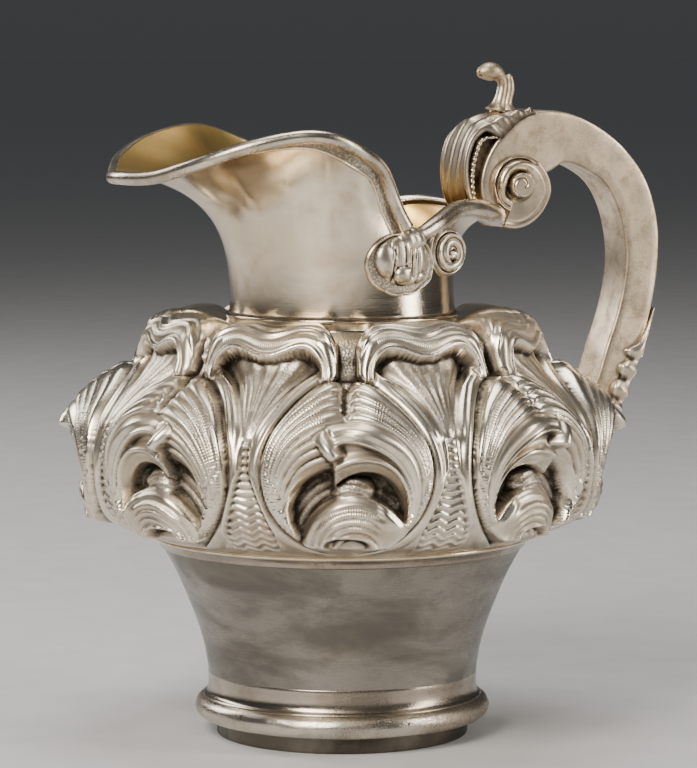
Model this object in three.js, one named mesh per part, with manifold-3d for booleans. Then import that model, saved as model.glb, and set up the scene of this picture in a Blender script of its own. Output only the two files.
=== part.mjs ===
// Silver water pitcher. A moulded foot carries a flaring lower body, a chased
// band of eight scroll lobes between eight columns, a plain neck that opens
// into a helmet-shaped spout, and a hollow square-section handle with a volute,
// two leaves and a thumb finial.
//
// Millimetres, +Z up. +X points to the handle and -X to the spout. The vessel
// is built round its own axis and then moved along X, so that the origin is
// under the middle of the whole object, at the level of the table.
import * as THREE from 'three';
import { mergeVertices } from 'three/addons/utils/BufferGeometryUtils.js';
import Module from 'manifold-3d';

const wasm = await Module();
wasm.setup();

// Sheet, clearances and facets
const GAP = 0.3;
const WALL = 1.2;
const AROUND = 48;
const FULL_TURN = 2 * Math.PI;

// Foot
const FOOT_RIM = { outer: 48.3, inner: 44.5, height: 5.5, collar: 46.6, collarTop: 15.4 };
const FOOT_TORUS = { radius: 51.7, tube: 4.7, z: 10.8 };
const CAVETTO = { bottom: 15.8, top: 19.6, foot: 52.8, waist: 50.9, head: 51.1, inner: 49.6 };
const BOTTOM = { z: 16.2, radius: 49.1, sag: 0.9 };

// Lower body, a flare that steepens towards the girdle
const LOWER = { bottom: 19.9, top: 75.6, footRadius: 51.1, girdleRadius: 72.1, flare: 1.85 };
const GIRDLE = { radius: 72.7, tube: 1.05, z: 77 };

// Chased band: one outline down a column, one over the crest of a lobe
const LOBES = 8;
const BAND_FACETS = 72;
const BAND_STEPS = 18;
const COLUMN_OUTLINE = [
  [72.0, 78.4], [80.0, 80.6], [89.0, 85.5], [94.5, 94], [97.2, 104], [97.0, 115], [92.5, 125],
  [86.5, 133], [81.0, 141], [83.5, 150], [72.0, 160], [57.0, 159.2], [44.9, 157.2],
];
const CREST_OUTLINE = [
  [72.0, 78.4], [87.0, 81.4], [97.0, 87], [97.8, 96], [101.5, 105], [103.0, 115], [101.0, 125],
  [95.0, 132.5], [86.5, 139.5], [78.0, 147], [67.0, 153.5], [56.0, 155.8], [44.9, 157.2],
];
const BAND_INNER_LIP = 43.6;

// Neck, spout and rim; the rim is given by angle, radius and height
const COLLAR = { bottom: 157.6, top: 162.4, outer: 44.4, inner: 41.8 };
const NECK = { bottom: 162.7, radius: 43.0, facets: 56, steps: 8 };
const NECK_LEAN = { low: 0.02, lowHeight: 0.45, high: 0.1, highHeight: 0.9 };
const RIM = [
  [0, 61.5, 197.5], [9, 61.0, 198.2], [28, 48.6, 201.6], [40, 43.2, 200.2], [60, 41.8, 195.2],
  [76, 41.3, 193.1], [84, 40.8, 201.4], [91, 42.2, 211.6], [98, 47.6, 219.4], [105, 57.0, 224.2],
  [113, 65.2, 229.6], [121, 69.4, 232.0], [130, 72.8, 231.2], [141, 80.2, 227.4],
  [153, 85.5, 221.4], [167, 87.8, 216.3], [180, 92.3, 215.9],
];
const RIM_TUBE = { radius: 2.3, sides: 8, from: 82, to: 278, steps: 52 };
const REAR_TUBE = { radius: 2.4, sides: 8, from: 65, to: 10.6, steps: 14 };

// Ornaments on the neck
const SHELL = { angle: 85.2, z: 182.3, back: 44.1, depth: 3.2, halfWidth: 14.2, halfHeight: 12, lobes: 11 };
const SCROLL = { angle: 55.6, z: 184.2, back: 43.4, radius: 8.5, depth: 5 };

// Handle: its two long edges in the X-Z plane, and the round eye of its volute
const HANDLE_WIDTH = 19.3;
const CHEEK = 1.5;
const STRIP = 1.4;
const EYE = { x: 69.5, z: 208, radius: 15.2 };
const OUTER_EDGE = [
  [80, 101.5], [96, 103.5], [107.2, 111.5], [115.3, 124], [123.1, 141], [129.4, 160],
  [132.5, 180], [131.4, 197], [125.1, 213.3], [113.3, 226.2], [99.5, 234.4],
  [86.5, 237.8], [73.5, 236.4], [61.8, 227.2], [55.8, 217], [54.3, 208],
];
const INNER_EDGE = [
  [84.8, 214.6], [91, 217.7], [99.7, 215.2], [109, 208.7], [115.3, 197],
  [118, 181], [116.1, 165.6], [109.8, 146], [103.1, 128.6], [96, 119.8], [80, 116.5],
];
const EDGE_STEPS = 32;
const BOSS_STEPS = [[10.4, 0], [10.4, 1.1], [8.6, 2.1], [7.0, 2.3], [5.6, 3.4], [4.2, 3.6], [3.9, 5.2]];

// Leaves and finial
const TOP_LEAF = { thickness: 7.6, width: 22.5, ripples: 3, ripple: 0.08 };
const LOWER_LEAF = { thickness: 4.3, width: 16, ripples: 4, ripple: 0.18 };
const FINIAL = { stem: 2.6, budX: 63.6, budZ: 252.6, budLength: 5.6, budRadius: 3.5 };
const FINIAL_STEM = [[70.8, 240], [71.9, 244.5], [72.1, 248.2], [70.6, 251], [67.2, 252.9], [63.6, 252.6]];
const FINIAL_BASE = { x: 70.8, bottom: 239.2, top: 243.4, foot: 4.6, head: 3.2 };

const silver = (color, roughness) => new THREE.MeshStandardMaterial({ color, roughness, metalness: 1 });
const SATIN = silver(0xbdb6aa, 0.34);
const POLISHED = silver(0xd2cbbd, 0.2);
const CHASED = silver(0xa79f92, 0.4);
const WORN = silver(0xb3a995, 0.38);

const vessel = new THREE.Group();

function add(name, geometry, material, parent = vessel) {
  const mesh = new THREE.Mesh(geometry, material);
  mesh.name = name;
  parent.add(mesh);
  return mesh;
}

const radians = (degrees) => (degrees * Math.PI) / 180;

// Booleans -----------------------------------------------------------------

function toSolid(geometry) {
  const plain = geometry.clone();
  plain.deleteAttribute('normal');
  plain.deleteAttribute('uv');
  const merged = mergeVertices(plain, 1e-4);
  return new wasm.Manifold(new wasm.Mesh({
    numProp: 3,
    vertProperties: new Float32Array(merged.attributes.position.array),
    triVerts: new Uint32Array(merged.index.array),
  }));
}

function toGeometry(solid) {
  const mesh = solid.getMesh();
  const geometry = new THREE.BufferGeometry();
  geometry.setAttribute('position', new THREE.BufferAttribute(mesh.vertProperties, 3));
  geometry.setIndex(new THREE.BufferAttribute(mesh.triVerts, 1));
  return geometry;
}

// Turned and swept rings -----------------------------------------------------

// A ring round the vessel's axis. outlineAt(angle) gives its closed section
// there as [radius, z] points, up the outside and down the inside.
function ring(outlineAt, facets = AROUND) {
  const start = outlineAt(0);
  const profile = [...start, start[0]].map(([r, z]) => new THREE.Vector2(r, z));
  const geometry = new THREE.LatheGeometry(profile, facets);
  const position = geometry.attributes.position;
  for (let i = 0; i <= facets; i++) {
    const angle = (FULL_TURN * (i % facets)) / facets;
    const outline = outlineAt(angle);
    for (let j = 0; j < profile.length; j++) {
      const [r, z] = outline[j % outline.length];
      position.setXYZ(i * profile.length + j, r * Math.cos(angle), r * Math.sin(angle), z);
    }
  }
  return geometry;
}

function roundSection(radius, z, tube, sides) {
  const points = [];
  for (let i = 0; i < sides; i++) {
    const turn = (FULL_TURN * i) / sides;
    points.push([radius + tube * Math.cos(turn), z + tube * Math.sin(turn)]);
  }
  return points;
}

// The inside of a sheet whose outside is the given open outline.
function insideOf(outline, thickness) {
  return outline.map((point, i) => {
    const before = outline[Math.max(i - 1, 0)];
    const after = outline[Math.min(i + 1, outline.length - 1)];
    const along = new THREE.Vector2(after[0] - before[0], after[1] - before[1]).normalize();
    return [point[0] - thickness * along.y, point[1] + thickness * along.x];
  });
}

// Foot and lower body --------------------------------------------------------

function buildFoot() {
  const f = FOOT_RIM;
  const rim = [
    [f.inner, 0], [f.outer, 0], [f.outer, f.height],
    [f.collar, f.height + 2.4], [f.collar, f.collarTop], [f.inner, f.collarTop],
  ];
  add('foot_rim', ring(() => rim), WORN);

  const torus = roundSection(FOOT_TORUS.radius, FOOT_TORUS.z, FOOT_TORUS.tube, 10);
  add('foot_moulding', ring(() => torus), WORN);

  const c = CAVETTO;
  const step = [
    [c.inner, c.bottom], [c.foot, c.bottom], [c.foot - 1, c.bottom + 1.1],
    [c.waist, c.bottom + 2.4], [c.head, c.top], [c.inner, c.top],
  ];
  add('foot_cavetto', ring(() => step), SATIN);

  const b = BOTTOM;
  const plate = [
    [0, b.z], [b.radius * 0.6, b.z + b.sag * 0.4], [b.radius, b.z + b.sag],
    [b.radius, b.z + b.sag + WALL], [b.radius * 0.6, b.z + b.sag * 0.4 + WALL], [0, b.z + WALL],
  ].map(([r, z]) => new THREE.Vector2(r, z));
  const disc = new THREE.LatheGeometry(plate, AROUND);
  disc.rotateX(Math.PI / 2);
  add('bottom_plate', disc, SATIN);
}

function lowerRadius(z) {
  const rise = (z - LOWER.bottom) / (LOWER.top - LOWER.bottom);
  return LOWER.footRadius + (LOWER.girdleRadius - LOWER.footRadius) * rise ** LOWER.flare;
}

function buildLowerBody() {
  const steps = 5;
  const outside = [];
  for (let i = 0; i <= steps; i++) {
    const z = LOWER.bottom + ((LOWER.top - LOWER.bottom) * i) / steps;
    outside.push([lowerRadius(z), z]);
  }
  const inside = outside.map(([r, z]) => [r - WALL, z]).reverse();
  const section = [...outside, ...inside];
  add('lower_body', ring(() => section), SATIN);

  const wire = roundSection(GIRDLE.radius, GIRDLE.z, GIRDLE.tube, 8);
  add('girdle_wire', ring(() => wire), POLISHED);
}

// Chased band ----------------------------------------------------------------

const spline = (points) => new THREE.SplineCurve(points.map(([x, y]) => new THREE.Vector2(x, y)));
const columnCurve = spline(COLUMN_OUTLINE);
const crestCurve = spline(CREST_OUTLINE);

// The outside of the band at an angle: the column's outline under the handle,
// under the spout and at each eighth of a turn, the crest's halfway between.
function bandOutside(angle) {
  const swell = (1 - Math.cos(LOBES * angle)) / 2;
  const outline = [];
  for (let i = 0; i <= BAND_STEPS; i++) {
    const point = columnCurve.getPoint(i / BAND_STEPS).lerp(crestCurve.getPoint(i / BAND_STEPS), swell);
    outline.push([point.x, point.y]);
  }
  return outline;
}

function bandSection(angle) {
  const outside = bandOutside(angle);
  const inside = insideOf(outside, WALL);
  const bottom = outside[0][1];
  const top = outside[BAND_STEPS][1];
  inside[0] = [outside[0][0] - WALL, bottom];
  inside[BAND_STEPS] = [BAND_INNER_LIP, top - WALL];
  outside[BAND_STEPS] = [BAND_INNER_LIP, top];
  return [...outside, ...inside.reverse()];
}

// The space that the band takes up, a little larger, for cutting the handle.
const BAND_CORE = 55;
const bandSpace = toSolid(ring((angle) => {
  const outside = insideOf(bandOutside(angle), -GAP).slice(0, BAND_STEPS - 2);
  return [[BAND_CORE, outside[0][1]], ...outside, [BAND_CORE, outside.at(-1)[1]]];
}, BAND_FACETS));

function buildBand() {
  add('chased_band', ring(bandSection, BAND_FACETS), CHASED);
}

// Neck, spout and rim --------------------------------------------------------

const rimCurve = new THREE.SplineCurve(RIM.map(([angle, r]) => new THREE.Vector2(angle, r)));
const rimHeight = new THREE.SplineCurve(RIM.map(([angle, , z]) => new THREE.Vector2(angle, z)));

function readCurve(curve, at) {
  let low = 0;
  let high = 1;
  for (let i = 0; i < 24; i++) {
    const middle = (low + high) / 2;
    if (curve.getPoint(middle).x < at) low = middle;
    else high = middle;
  }
  return curve.getPoint(high).y;
}

function rimAt(angle) {
  const turned = THREE.MathUtils.radToDeg(angle) % 360;
  const folded = turned > 180 ? 360 - turned : turned;
  return new THREE.Vector2(readCurve(rimCurve, folded), readCurve(rimHeight, folded));
}

// The neck's outside at an angle: upright at the collar, leaning out to the rim.
function neckCurve(angle) {
  const rim = rimAt(angle);
  const out = rim.x - NECK.radius;
  const up = rim.y - NECK.bottom;
  return new THREE.CubicBezierCurve(
    new THREE.Vector2(NECK.radius, NECK.bottom),
    new THREE.Vector2(NECK.radius + NECK_LEAN.low * out - 0.8, NECK.bottom + NECK_LEAN.lowHeight * up),
    new THREE.Vector2(NECK.radius + NECK_LEAN.high * out - 0.8, NECK.bottom + NECK_LEAN.highHeight * up),
    rim,
  );
}

function neckSection(angle) {
  const curve = neckCurve(angle);
  const speedAtRim = 3 * curve.v2.distanceTo(curve.v3);
  const end = 1 - (RIM_TUBE.radius + WALL + 2 * GAP) / speedAtRim;
  const outside = [];
  for (let i = 0; i <= NECK.steps; i++) {
    const point = curve.getPoint((end * i) / NECK.steps);
    outside.push([point.x, point.y]);
  }
  const inside = insideOf(outside, WALL);
  inside[0] = [outside[0][0] - WALL, outside[0][1]];
  return [...outside, ...inside.reverse()];
}

class RimPath extends THREE.Curve {
  constructor(from, to) {
    super();
    this.from = radians(from);
    this.to = radians(to);
  }

  getPoint(t, target = new THREE.Vector3()) {
    const angle = THREE.MathUtils.lerp(this.from, this.to, t);
    const rim = rimAt((angle + FULL_TURN) % FULL_TURN);
    return target.set(rim.x * Math.cos(angle), rim.x * Math.sin(angle), rim.y);
  }
}

function rod(path, radius, sides, steps) {
  const section = new THREE.Shape();
  section.absarc(0, 0, radius, 0, FULL_TURN);
  return new THREE.ExtrudeGeometry(section, { steps, curveSegments: sides / 2, extrudePath: path });
}

function buildNeck(handleSpace) {
  const collarSection = [
    [COLLAR.inner, COLLAR.bottom], [COLLAR.outer - 0.5, COLLAR.bottom], [COLLAR.outer, COLLAR.bottom + 1.2],
    [COLLAR.outer, COLLAR.top - 1.8], [COLLAR.outer - 0.8, COLLAR.top], [COLLAR.inner, COLLAR.top],
  ];
  add('neck_collar', ring(() => collarSection), POLISHED);

  const neck = toSolid(ring(neckSection, NECK.facets)).subtract(handleSpace);
  add('neck_and_spout', toGeometry(neck), POLISHED);

  const t = RIM_TUBE;
  add('spout_rim_moulding', rod(new RimPath(t.from, t.to), t.radius, t.sides, t.steps), POLISHED);

  const r = REAR_TUBE;
  for (const [side, sign] of [['right', -1], ['left', 1]]) {
    const path = new RimPath(sign * r.from, sign * r.to);
    const arm = toSolid(rod(path, r.radius, r.sides, r.steps)).subtract(handleSpace);
    add(`rear_rim_${side}`, toGeometry(arm), POLISHED);
  }
}

// Ornaments on the neck --------------------------------------------------------

// Bends a plate that lies in X-Y round an upright drum of the given radius.
function wrapRound(geometry, radius) {
  const position = geometry.attributes.position;
  for (let i = 0; i < position.count; i++) {
    const angle = position.getX(i) / radius;
    const out = radius + position.getZ(i);
    position.setXYZ(i, out * Math.cos(angle), out * Math.sin(angle), position.getY(i));
  }
  return geometry;
}

function shellOutline() {
  const shape = new THREE.Shape();
  const steps = SHELL.lobes * 4;
  for (let i = 0; i < steps; i++) {
    const angle = (FULL_TURN * i) / steps;
    const scallop = 0.93 + 0.07 * Math.abs(Math.sin((Math.PI * SHELL.lobes * i) / steps));
    const x = SHELL.halfWidth * scallop * Math.cos(angle);
    const y = SHELL.halfHeight * scallop * Math.sin(angle);
    if (i === 0) shape.moveTo(x, y);
    else shape.lineTo(x, y);
  }
  shape.closePath();
  return shape;
}

function buildNeckOrnaments() {
  for (const [side, sign] of [['right', -1], ['left', 1]]) {
    const bevel = { bevelThickness: 1.4, bevelSize: 1.6, bevelOffset: -1.6, bevelSegments: 2 };
    const plate = new THREE.ExtrudeGeometry(shellOutline(), { depth: SHELL.depth - 1.4, ...bevel });
    plate.translate(0, 0, 1.4);
    const shell = add(`shell_ornament_${side}`, wrapRound(plate, SHELL.back), POLISHED);
    shell.position.z = SHELL.z;
    shell.rotation.z = sign * radians(SHELL.angle);

    const s = SCROLL;
    const profile = [
      [0, 0], [s.radius, 0], [s.radius, s.depth * 0.4], [s.radius * 0.72, s.depth * 0.62],
      [s.radius * 0.66, s.depth * 0.5], [s.radius * 0.42, s.depth * 0.9], [s.radius * 0.2, s.depth], [0, s.depth],
    ].map(([r, y]) => new THREE.Vector2(r, y));
    const disc = new THREE.LatheGeometry(profile, 20);
    disc.rotateZ(-Math.PI / 2);
    disc.translate(s.back, 0, 0);
    const scroll = add(`side_scroll_${side}`, disc, POLISHED);
    scroll.position.z = s.z;
    scroll.rotation.z = sign * radians(s.angle);
  }
}

// Handle ---------------------------------------------------------------------

const pointsOf = (edge) => spline(edge).getPoints(EDGE_STEPS).map(({ x, y }) => [x, y]);

function eyeArc(fromDegrees, toDegrees, radius, steps = 14) {
  const points = [];
  for (let i = 0; i <= steps; i++) {
    const angle = radians(THREE.MathUtils.lerp(fromDegrees, toDegrees, i / steps));
    points.push([EYE.x + radius * Math.cos(angle), EYE.z + radius * Math.sin(angle)]);
  }
  return points;
}

const outerRun = [...pointsOf(OUTER_EDGE), ...eyeArc(186, 382, EYE.radius)];
const innerRun = pointsOf(INNER_EDGE);

// Moves each point of a run to its right by distance(share of the run).
function shifted(run, distance) {
  return run.map((point, i) => {
    const before = run[Math.max(i - 1, 0)];
    const after = run[Math.min(i + 1, run.length - 1)];
    const along = new THREE.Vector2(after[0] - before[0], after[1] - before[1]).normalize();
    const move = distance(i / (run.length - 1));
    return [point[0] + move * along.y, point[1] - move * along.x];
  });
}

// A plate with its outline in the X-Z plane, between two values of Y.
function plate(outline, fromY, toY) {
  const shape = new THREE.Shape(outline.map(([x, z]) => new THREE.Vector2(x, z)));
  const geometry = new THREE.ExtrudeGeometry(shape, { depth: toY - fromY, bevelEnabled: false });
  geometry.rotateX(Math.PI / 2);
  geometry.translate(0, toY, 0);
  return geometry;
}

const handleOutline = [...outerRun, ...innerRun];

// The space of the handle's root, a little larger, for cutting neck and rim.
const handleSpace = toSolid(plate(
  [...shifted(outerRun, () => GAP), ...shifted(innerRun, () => GAP)],
  -HANDLE_WIDTH / 2 - GAP,
  HANDLE_WIDTH / 2 + GAP,
));

function buildHandle() {
  const half = HANDLE_WIDTH / 2;
  const clearOfBand = (geometry) => toGeometry(toSolid(geometry).subtract(bandSpace));
  add('handle_cheek_left', clearOfBand(plate(handleOutline, half - CHEEK, half)), WORN);
  add('handle_cheek_right', clearOfBand(plate(handleOutline, -half, CHEEK - half)), WORN);

  const inside = half - CHEEK - GAP;
  const outerStrip = [...outerRun, ...shifted(outerRun, () => -STRIP).reverse()];
  const innerStrip = [...innerRun, ...shifted(innerRun, () => -STRIP).reverse()];
  add('handle_outer_strip', clearOfBand(plate(outerStrip, -inside, inside)), WORN);
  add('handle_inner_strip', clearOfBand(plate(innerStrip, -inside, inside)), WORN);

  const profile = [[0, 0], ...BOSS_STEPS, [0, BOSS_STEPS.at(-1)[1]]];
  for (const [side, sign] of [['right', -1], ['left', 1]]) {
    const boss = new THREE.LatheGeometry(profile.map(([r, y]) => new THREE.Vector2(r, y)), 24);
    if (sign < 0) boss.rotateX(Math.PI);
    const mesh = add(`volute_boss_${side}`, boss, POLISHED);
    mesh.position.set(EYE.x, sign * (half + GAP), EYE.z);
  }
}

function leaf(run, { thickness, width, ripples, ripple }) {
  const swell = (share) => {
    const body = Math.sin(Math.PI * THREE.MathUtils.clamp(share, 0.02, 0.98)) ** 0.55;
    return GAP + thickness * body * (1 + ripple * Math.cos(FULL_TURN * ripples * share));
  };
  const outline = [...shifted(run, swell), ...shifted(run, () => GAP).reverse()];
  return plate(outline, -width / 2, width / 2);
}

function buildLeaves() {
  const lowRun = outerRun.filter(([x, z]) => x > 103 && z < 158);
  const highRun = outerRun.filter(([x, z]) => x < 80 && z > 201.5);
  const lowLeaf = toSolid(leaf(lowRun, LOWER_LEAF)).subtract(bandSpace);
  add('handle_lower_leaf', toGeometry(lowLeaf), POLISHED);

  const b = FINIAL_BASE;
  const foot = new THREE.CylinderGeometry(b.head, b.foot, b.top - b.bottom, 16);
  foot.rotateX(Math.PI / 2);
  foot.translate(b.x, 0, (b.top + b.bottom) / 2);
  const stemPath = new THREE.CatmullRomCurve3(FINIAL_STEM.map(([x, z]) => new THREE.Vector3(x, 0, z)));
  const stem = rod(stemPath, FINIAL.stem, 10, 8);
  const bud = new THREE.SphereGeometry(FINIAL.budRadius, 14, 8);
  bud.scale(FINIAL.budLength / FINIAL.budRadius, 1, 1);
  bud.translate(FINIAL.budX, 0, FINIAL.budZ);
  const topLeaf = leaf(highRun, TOP_LEAF);
  const leafSpace = toSolid(leaf(highRun, { ...TOP_LEAF, thickness: TOP_LEAF.thickness + GAP }));
  const finial = toSolid(foot).add(toSolid(stem)).add(toSolid(bud)).subtract(leafSpace).subtract(handleSpace);
  add('handle_top_leaf', topLeaf, POLISHED);
  add('thumb_finial', toGeometry(finial), POLISHED);
}

buildFoot();
buildLowerBody();
buildBand();
buildNeck(handleSpace);
buildNeckOrnaments();
buildHandle();
buildLeaves();

// Centre the whole object over the origin along X.
const box = new THREE.Box3().setFromObject(vessel);
vessel.position.x = -(box.min.x + box.max.x) / 2;

const pitcher = new THREE.Group();
pitcher.add(vessel);

export default pitcher;
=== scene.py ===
import math

import bpy
import numpy as np
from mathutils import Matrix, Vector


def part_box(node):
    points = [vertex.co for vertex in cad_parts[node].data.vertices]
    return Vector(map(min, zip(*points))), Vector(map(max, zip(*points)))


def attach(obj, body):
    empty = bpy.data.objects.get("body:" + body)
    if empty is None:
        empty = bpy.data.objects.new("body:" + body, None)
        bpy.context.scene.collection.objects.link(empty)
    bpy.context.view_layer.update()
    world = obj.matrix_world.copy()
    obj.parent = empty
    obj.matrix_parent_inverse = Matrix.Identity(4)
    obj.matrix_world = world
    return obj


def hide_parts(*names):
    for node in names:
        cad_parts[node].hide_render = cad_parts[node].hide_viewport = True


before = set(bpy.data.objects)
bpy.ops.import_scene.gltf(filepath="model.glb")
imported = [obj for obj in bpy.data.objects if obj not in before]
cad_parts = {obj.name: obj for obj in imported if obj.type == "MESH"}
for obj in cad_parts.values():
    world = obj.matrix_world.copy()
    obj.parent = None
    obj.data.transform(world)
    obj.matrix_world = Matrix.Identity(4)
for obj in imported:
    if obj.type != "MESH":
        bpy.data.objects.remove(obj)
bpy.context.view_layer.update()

MM = 0.001
FULL_TURN = 2 * math.pi
SIDES = (("right", -1), ("left", 1))
SHEET = 1.2
FACETS = 320
FOOT_FACETS = 256

foot_low, foot_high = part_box("foot_rim")
AXIS_X = (foot_low.x + foot_high.x) / 2 / MM


# Small tools ---------------------------------------------------------------

def smooth(x, low, high):
    """0 below low, 1 above high, and an S-shaped rise between them."""
    t = np.clip((x - low) / (high - low), 0, 1)
    return t * t * (3 - 2 * t)


def bump(x, centre, width):
    """A bell of height 1 at the centre."""
    return np.exp(-((x - centre) / width) ** 2)


def blend(start, end, share):
    """start where the share is 0 and end where it is 1."""
    return start + (end - start) * share


def around(count):
    """Headings spaced evenly over a full turn."""
    return np.linspace(0, FULL_TURN, count, endpoint=False)


def oval(x, y, wide, high, count):
    """A closed outline round (x, y)."""
    turn = around(count)
    return np.stack([x + wide * np.cos(turn), y + high * np.sin(turn)], 1)


def unit(vectors):
    return vectors / np.linalg.norm(vectors, axis=-1, keepdims=True)


def polar_points(radius, angle, level):
    """Points given by their radius and angle round the axis and their level."""
    return np.stack([radius * np.cos(angle), radius * np.sin(angle), level + 0 * angle], -1)


def run_length(points):
    """How far along its path each point is."""
    return np.concatenate([[0], np.cumsum(np.linalg.norm(np.diff(points, axis=0), axis=1))])


def curve_through(points):
    """A smooth function y(x) through the points, given by rising x."""
    xs, ys = np.array(points, float).T
    steps = np.diff(ys) / np.diff(xs)
    slopes = np.concatenate([[steps[0]], (steps[1:] + steps[:-1]) / 2, [steps[-1]]])

    def value(x):
        x = np.clip(x, xs[0], xs[-1])
        i = np.clip(np.searchsorted(xs, x) - 1, 0, len(xs) - 2)
        width = xs[i + 1] - xs[i]
        t = (x - xs[i]) / width
        start = (2 * t**3 - 3 * t**2 + 1) * ys[i] + (t**3 - 2 * t**2 + t) * width * slopes[i]
        return start + (3 * t**2 - 2 * t**3) * ys[i + 1] + (t**3 - t**2) * width * slopes[i + 1]

    return value


def path_through(points, count):
    """count points evenly spaced along a smooth curve through the given ones."""
    points = np.array(points, float)
    knots = run_length(points)
    fine = np.linspace(0, knots[-1], 40 * len(points))
    dense = np.stack([curve_through(np.stack([knots, column], 1))(fine) for column in points.T], 1)
    length = run_length(dense)
    even = np.linspace(0, length[-1], count)
    return np.stack([np.interp(even, length, column) for column in dense.T], 1)


def ripple_noise(x, y, seed, waves=7, lowest=0.5, highest=2.0):
    """A smooth irregular field of about -1 to 1, the same on every run."""
    rng = np.random.default_rng(seed)
    total = np.zeros(np.broadcast(x, y).shape)
    for _ in range(waves):
        heading = rng.uniform(0, FULL_TURN)
        pitch = rng.uniform(lowest, highest)
        phase = rng.uniform(0, FULL_TURN)
        total = total + np.sin(pitch * (x * math.cos(heading) + y * math.sin(heading)) + phase)
    return total / math.sqrt(waves)


def grid_faces(rows, columns, closed):
    """Four-cornered faces over a grid that wraps its columns and, where it's closed, its rows."""
    row = np.arange(rows if closed else rows - 1)[:, None]
    column = np.arange(columns)[None, :]
    next_row = (row + 1) % rows
    next_column = (column + 1) % columns
    corners = (row * columns + column, next_row * columns + column,
               next_row * columns + next_column, row * columns + next_column)
    return np.stack(corners, -1).reshape(-1, 4)


def add_object(name, data):
    added = bpy.data.objects.new(name, data)
    bpy.context.scene.collection.objects.link(added)
    return added


def make_mesh(name, grid, closed, materials, material_of=None, attributes=None):
    """A smooth piece over a grid of points in mm from the vessel's axis; an open one has its ends covered."""
    rows, columns = grid.shape[:2]
    quads = grid_faces(rows, columns, closed)
    last = rows * columns - 1
    ends = [] if closed else [np.arange(columns), np.arange(last, last - columns, -1)]
    loops = np.concatenate([quads.ravel(), *ends]).astype(np.int32)
    sizes = np.array([4] * len(quads) + [columns] * len(ends))
    points = grid.reshape(-1, 3) + [AXIS_X, 0, 0]
    mesh = bpy.data.meshes.new(name)
    mesh.vertices.add(len(points))
    mesh.vertices.foreach_set("co", (points * MM).astype(np.float32).ravel())
    mesh.loops.add(len(loops))
    mesh.loops.foreach_set("vertex_index", loops)
    mesh.polygons.add(len(sizes))
    mesh.polygons.foreach_set("loop_start", (np.cumsum(sizes) - sizes).astype(np.int32))
    mesh.update(calc_edges=True)
    mesh.validate()
    mesh.polygons.foreach_set("use_smooth", np.ones(len(mesh.polygons), bool))
    for material in materials:
        mesh.materials.append(material)
    if material_of is not None:
        mesh.polygons.foreach_set("material_index", np.asarray(material_of, np.int32))
    for key, values in (attributes or {}).items():
        layer = mesh.attributes.new(key, "FLOAT", "POINT")
        layer.data.foreach_set("value", np.asarray(values, np.float32).ravel())
    return add_object(name, mesh)


def closed_ring(name, grid, *materials, **extra):
    """A piece whose grid of points closes on itself both ways."""
    return make_mesh(name, grid, True, materials, **extra)


def lined_ring(name, grid, metal, outside, **extra):
    """A closed ring of metal whose points past the first outside of each row are gilt."""
    column = np.broadcast_to(np.arange(grid.shape[1]), grid.shape[:2]).ravel()
    return closed_ring(name, grid, metal, LINING, material_of=column >= outside, **extra)


def closed_bar(name, grid, material, **extra):
    """A piece swept along an open path, with a face over each end."""
    return make_mesh(name, grid, False, [material], **extra)


def padded(fields, columns, **how):
    """Fields with more columns added, for the hidden points of a piece."""
    return {key: np.pad(field, ((0, 0), (0, columns)), **how) for key, field in fields.items()}


def turned(profile, facets):
    """Turns a closed (radius, height) profile round the vessel's axis."""
    return polar_points(profile[:, 0][None, :], around(facets)[:, None], profile[:, 1][None, :])


def rounded_profile(corners, radius, steps=5):
    """A closed outline with each corner rounded off."""
    corners = np.array(corners, float)
    outline = []
    for i, corner in enumerate(corners):
        before, after = corners[i - 1] - corner, corners[(i + 1) % len(corners)] - corner
        reach = min(radius, 0.45 * np.linalg.norm(before), 0.45 * np.linalg.norm(after))
        start = corner + before / np.linalg.norm(before) * reach
        end = corner + after / np.linalg.norm(after) * reach
        for t in np.linspace(0, 1, steps):
            outline.append((1 - t) ** 2 * start + 2 * t * (1 - t) * corner + t * t * end)
    return np.array(outline)


def finish_piece(piece, slot, *nodes):
    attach(piece, "root")
    if nodes:
        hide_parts(*nodes)


def turned_piece(name, profile, facets, material, slot, *nodes):
    finish_piece(closed_ring(name, turned(profile, facets), material), slot, *nodes)


def bar_piece(name, grid, material, slot, *nodes):
    finish_piece(closed_bar(name, grid, material), slot, *nodes)


# Materials -----------------------------------------------------------------

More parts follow.
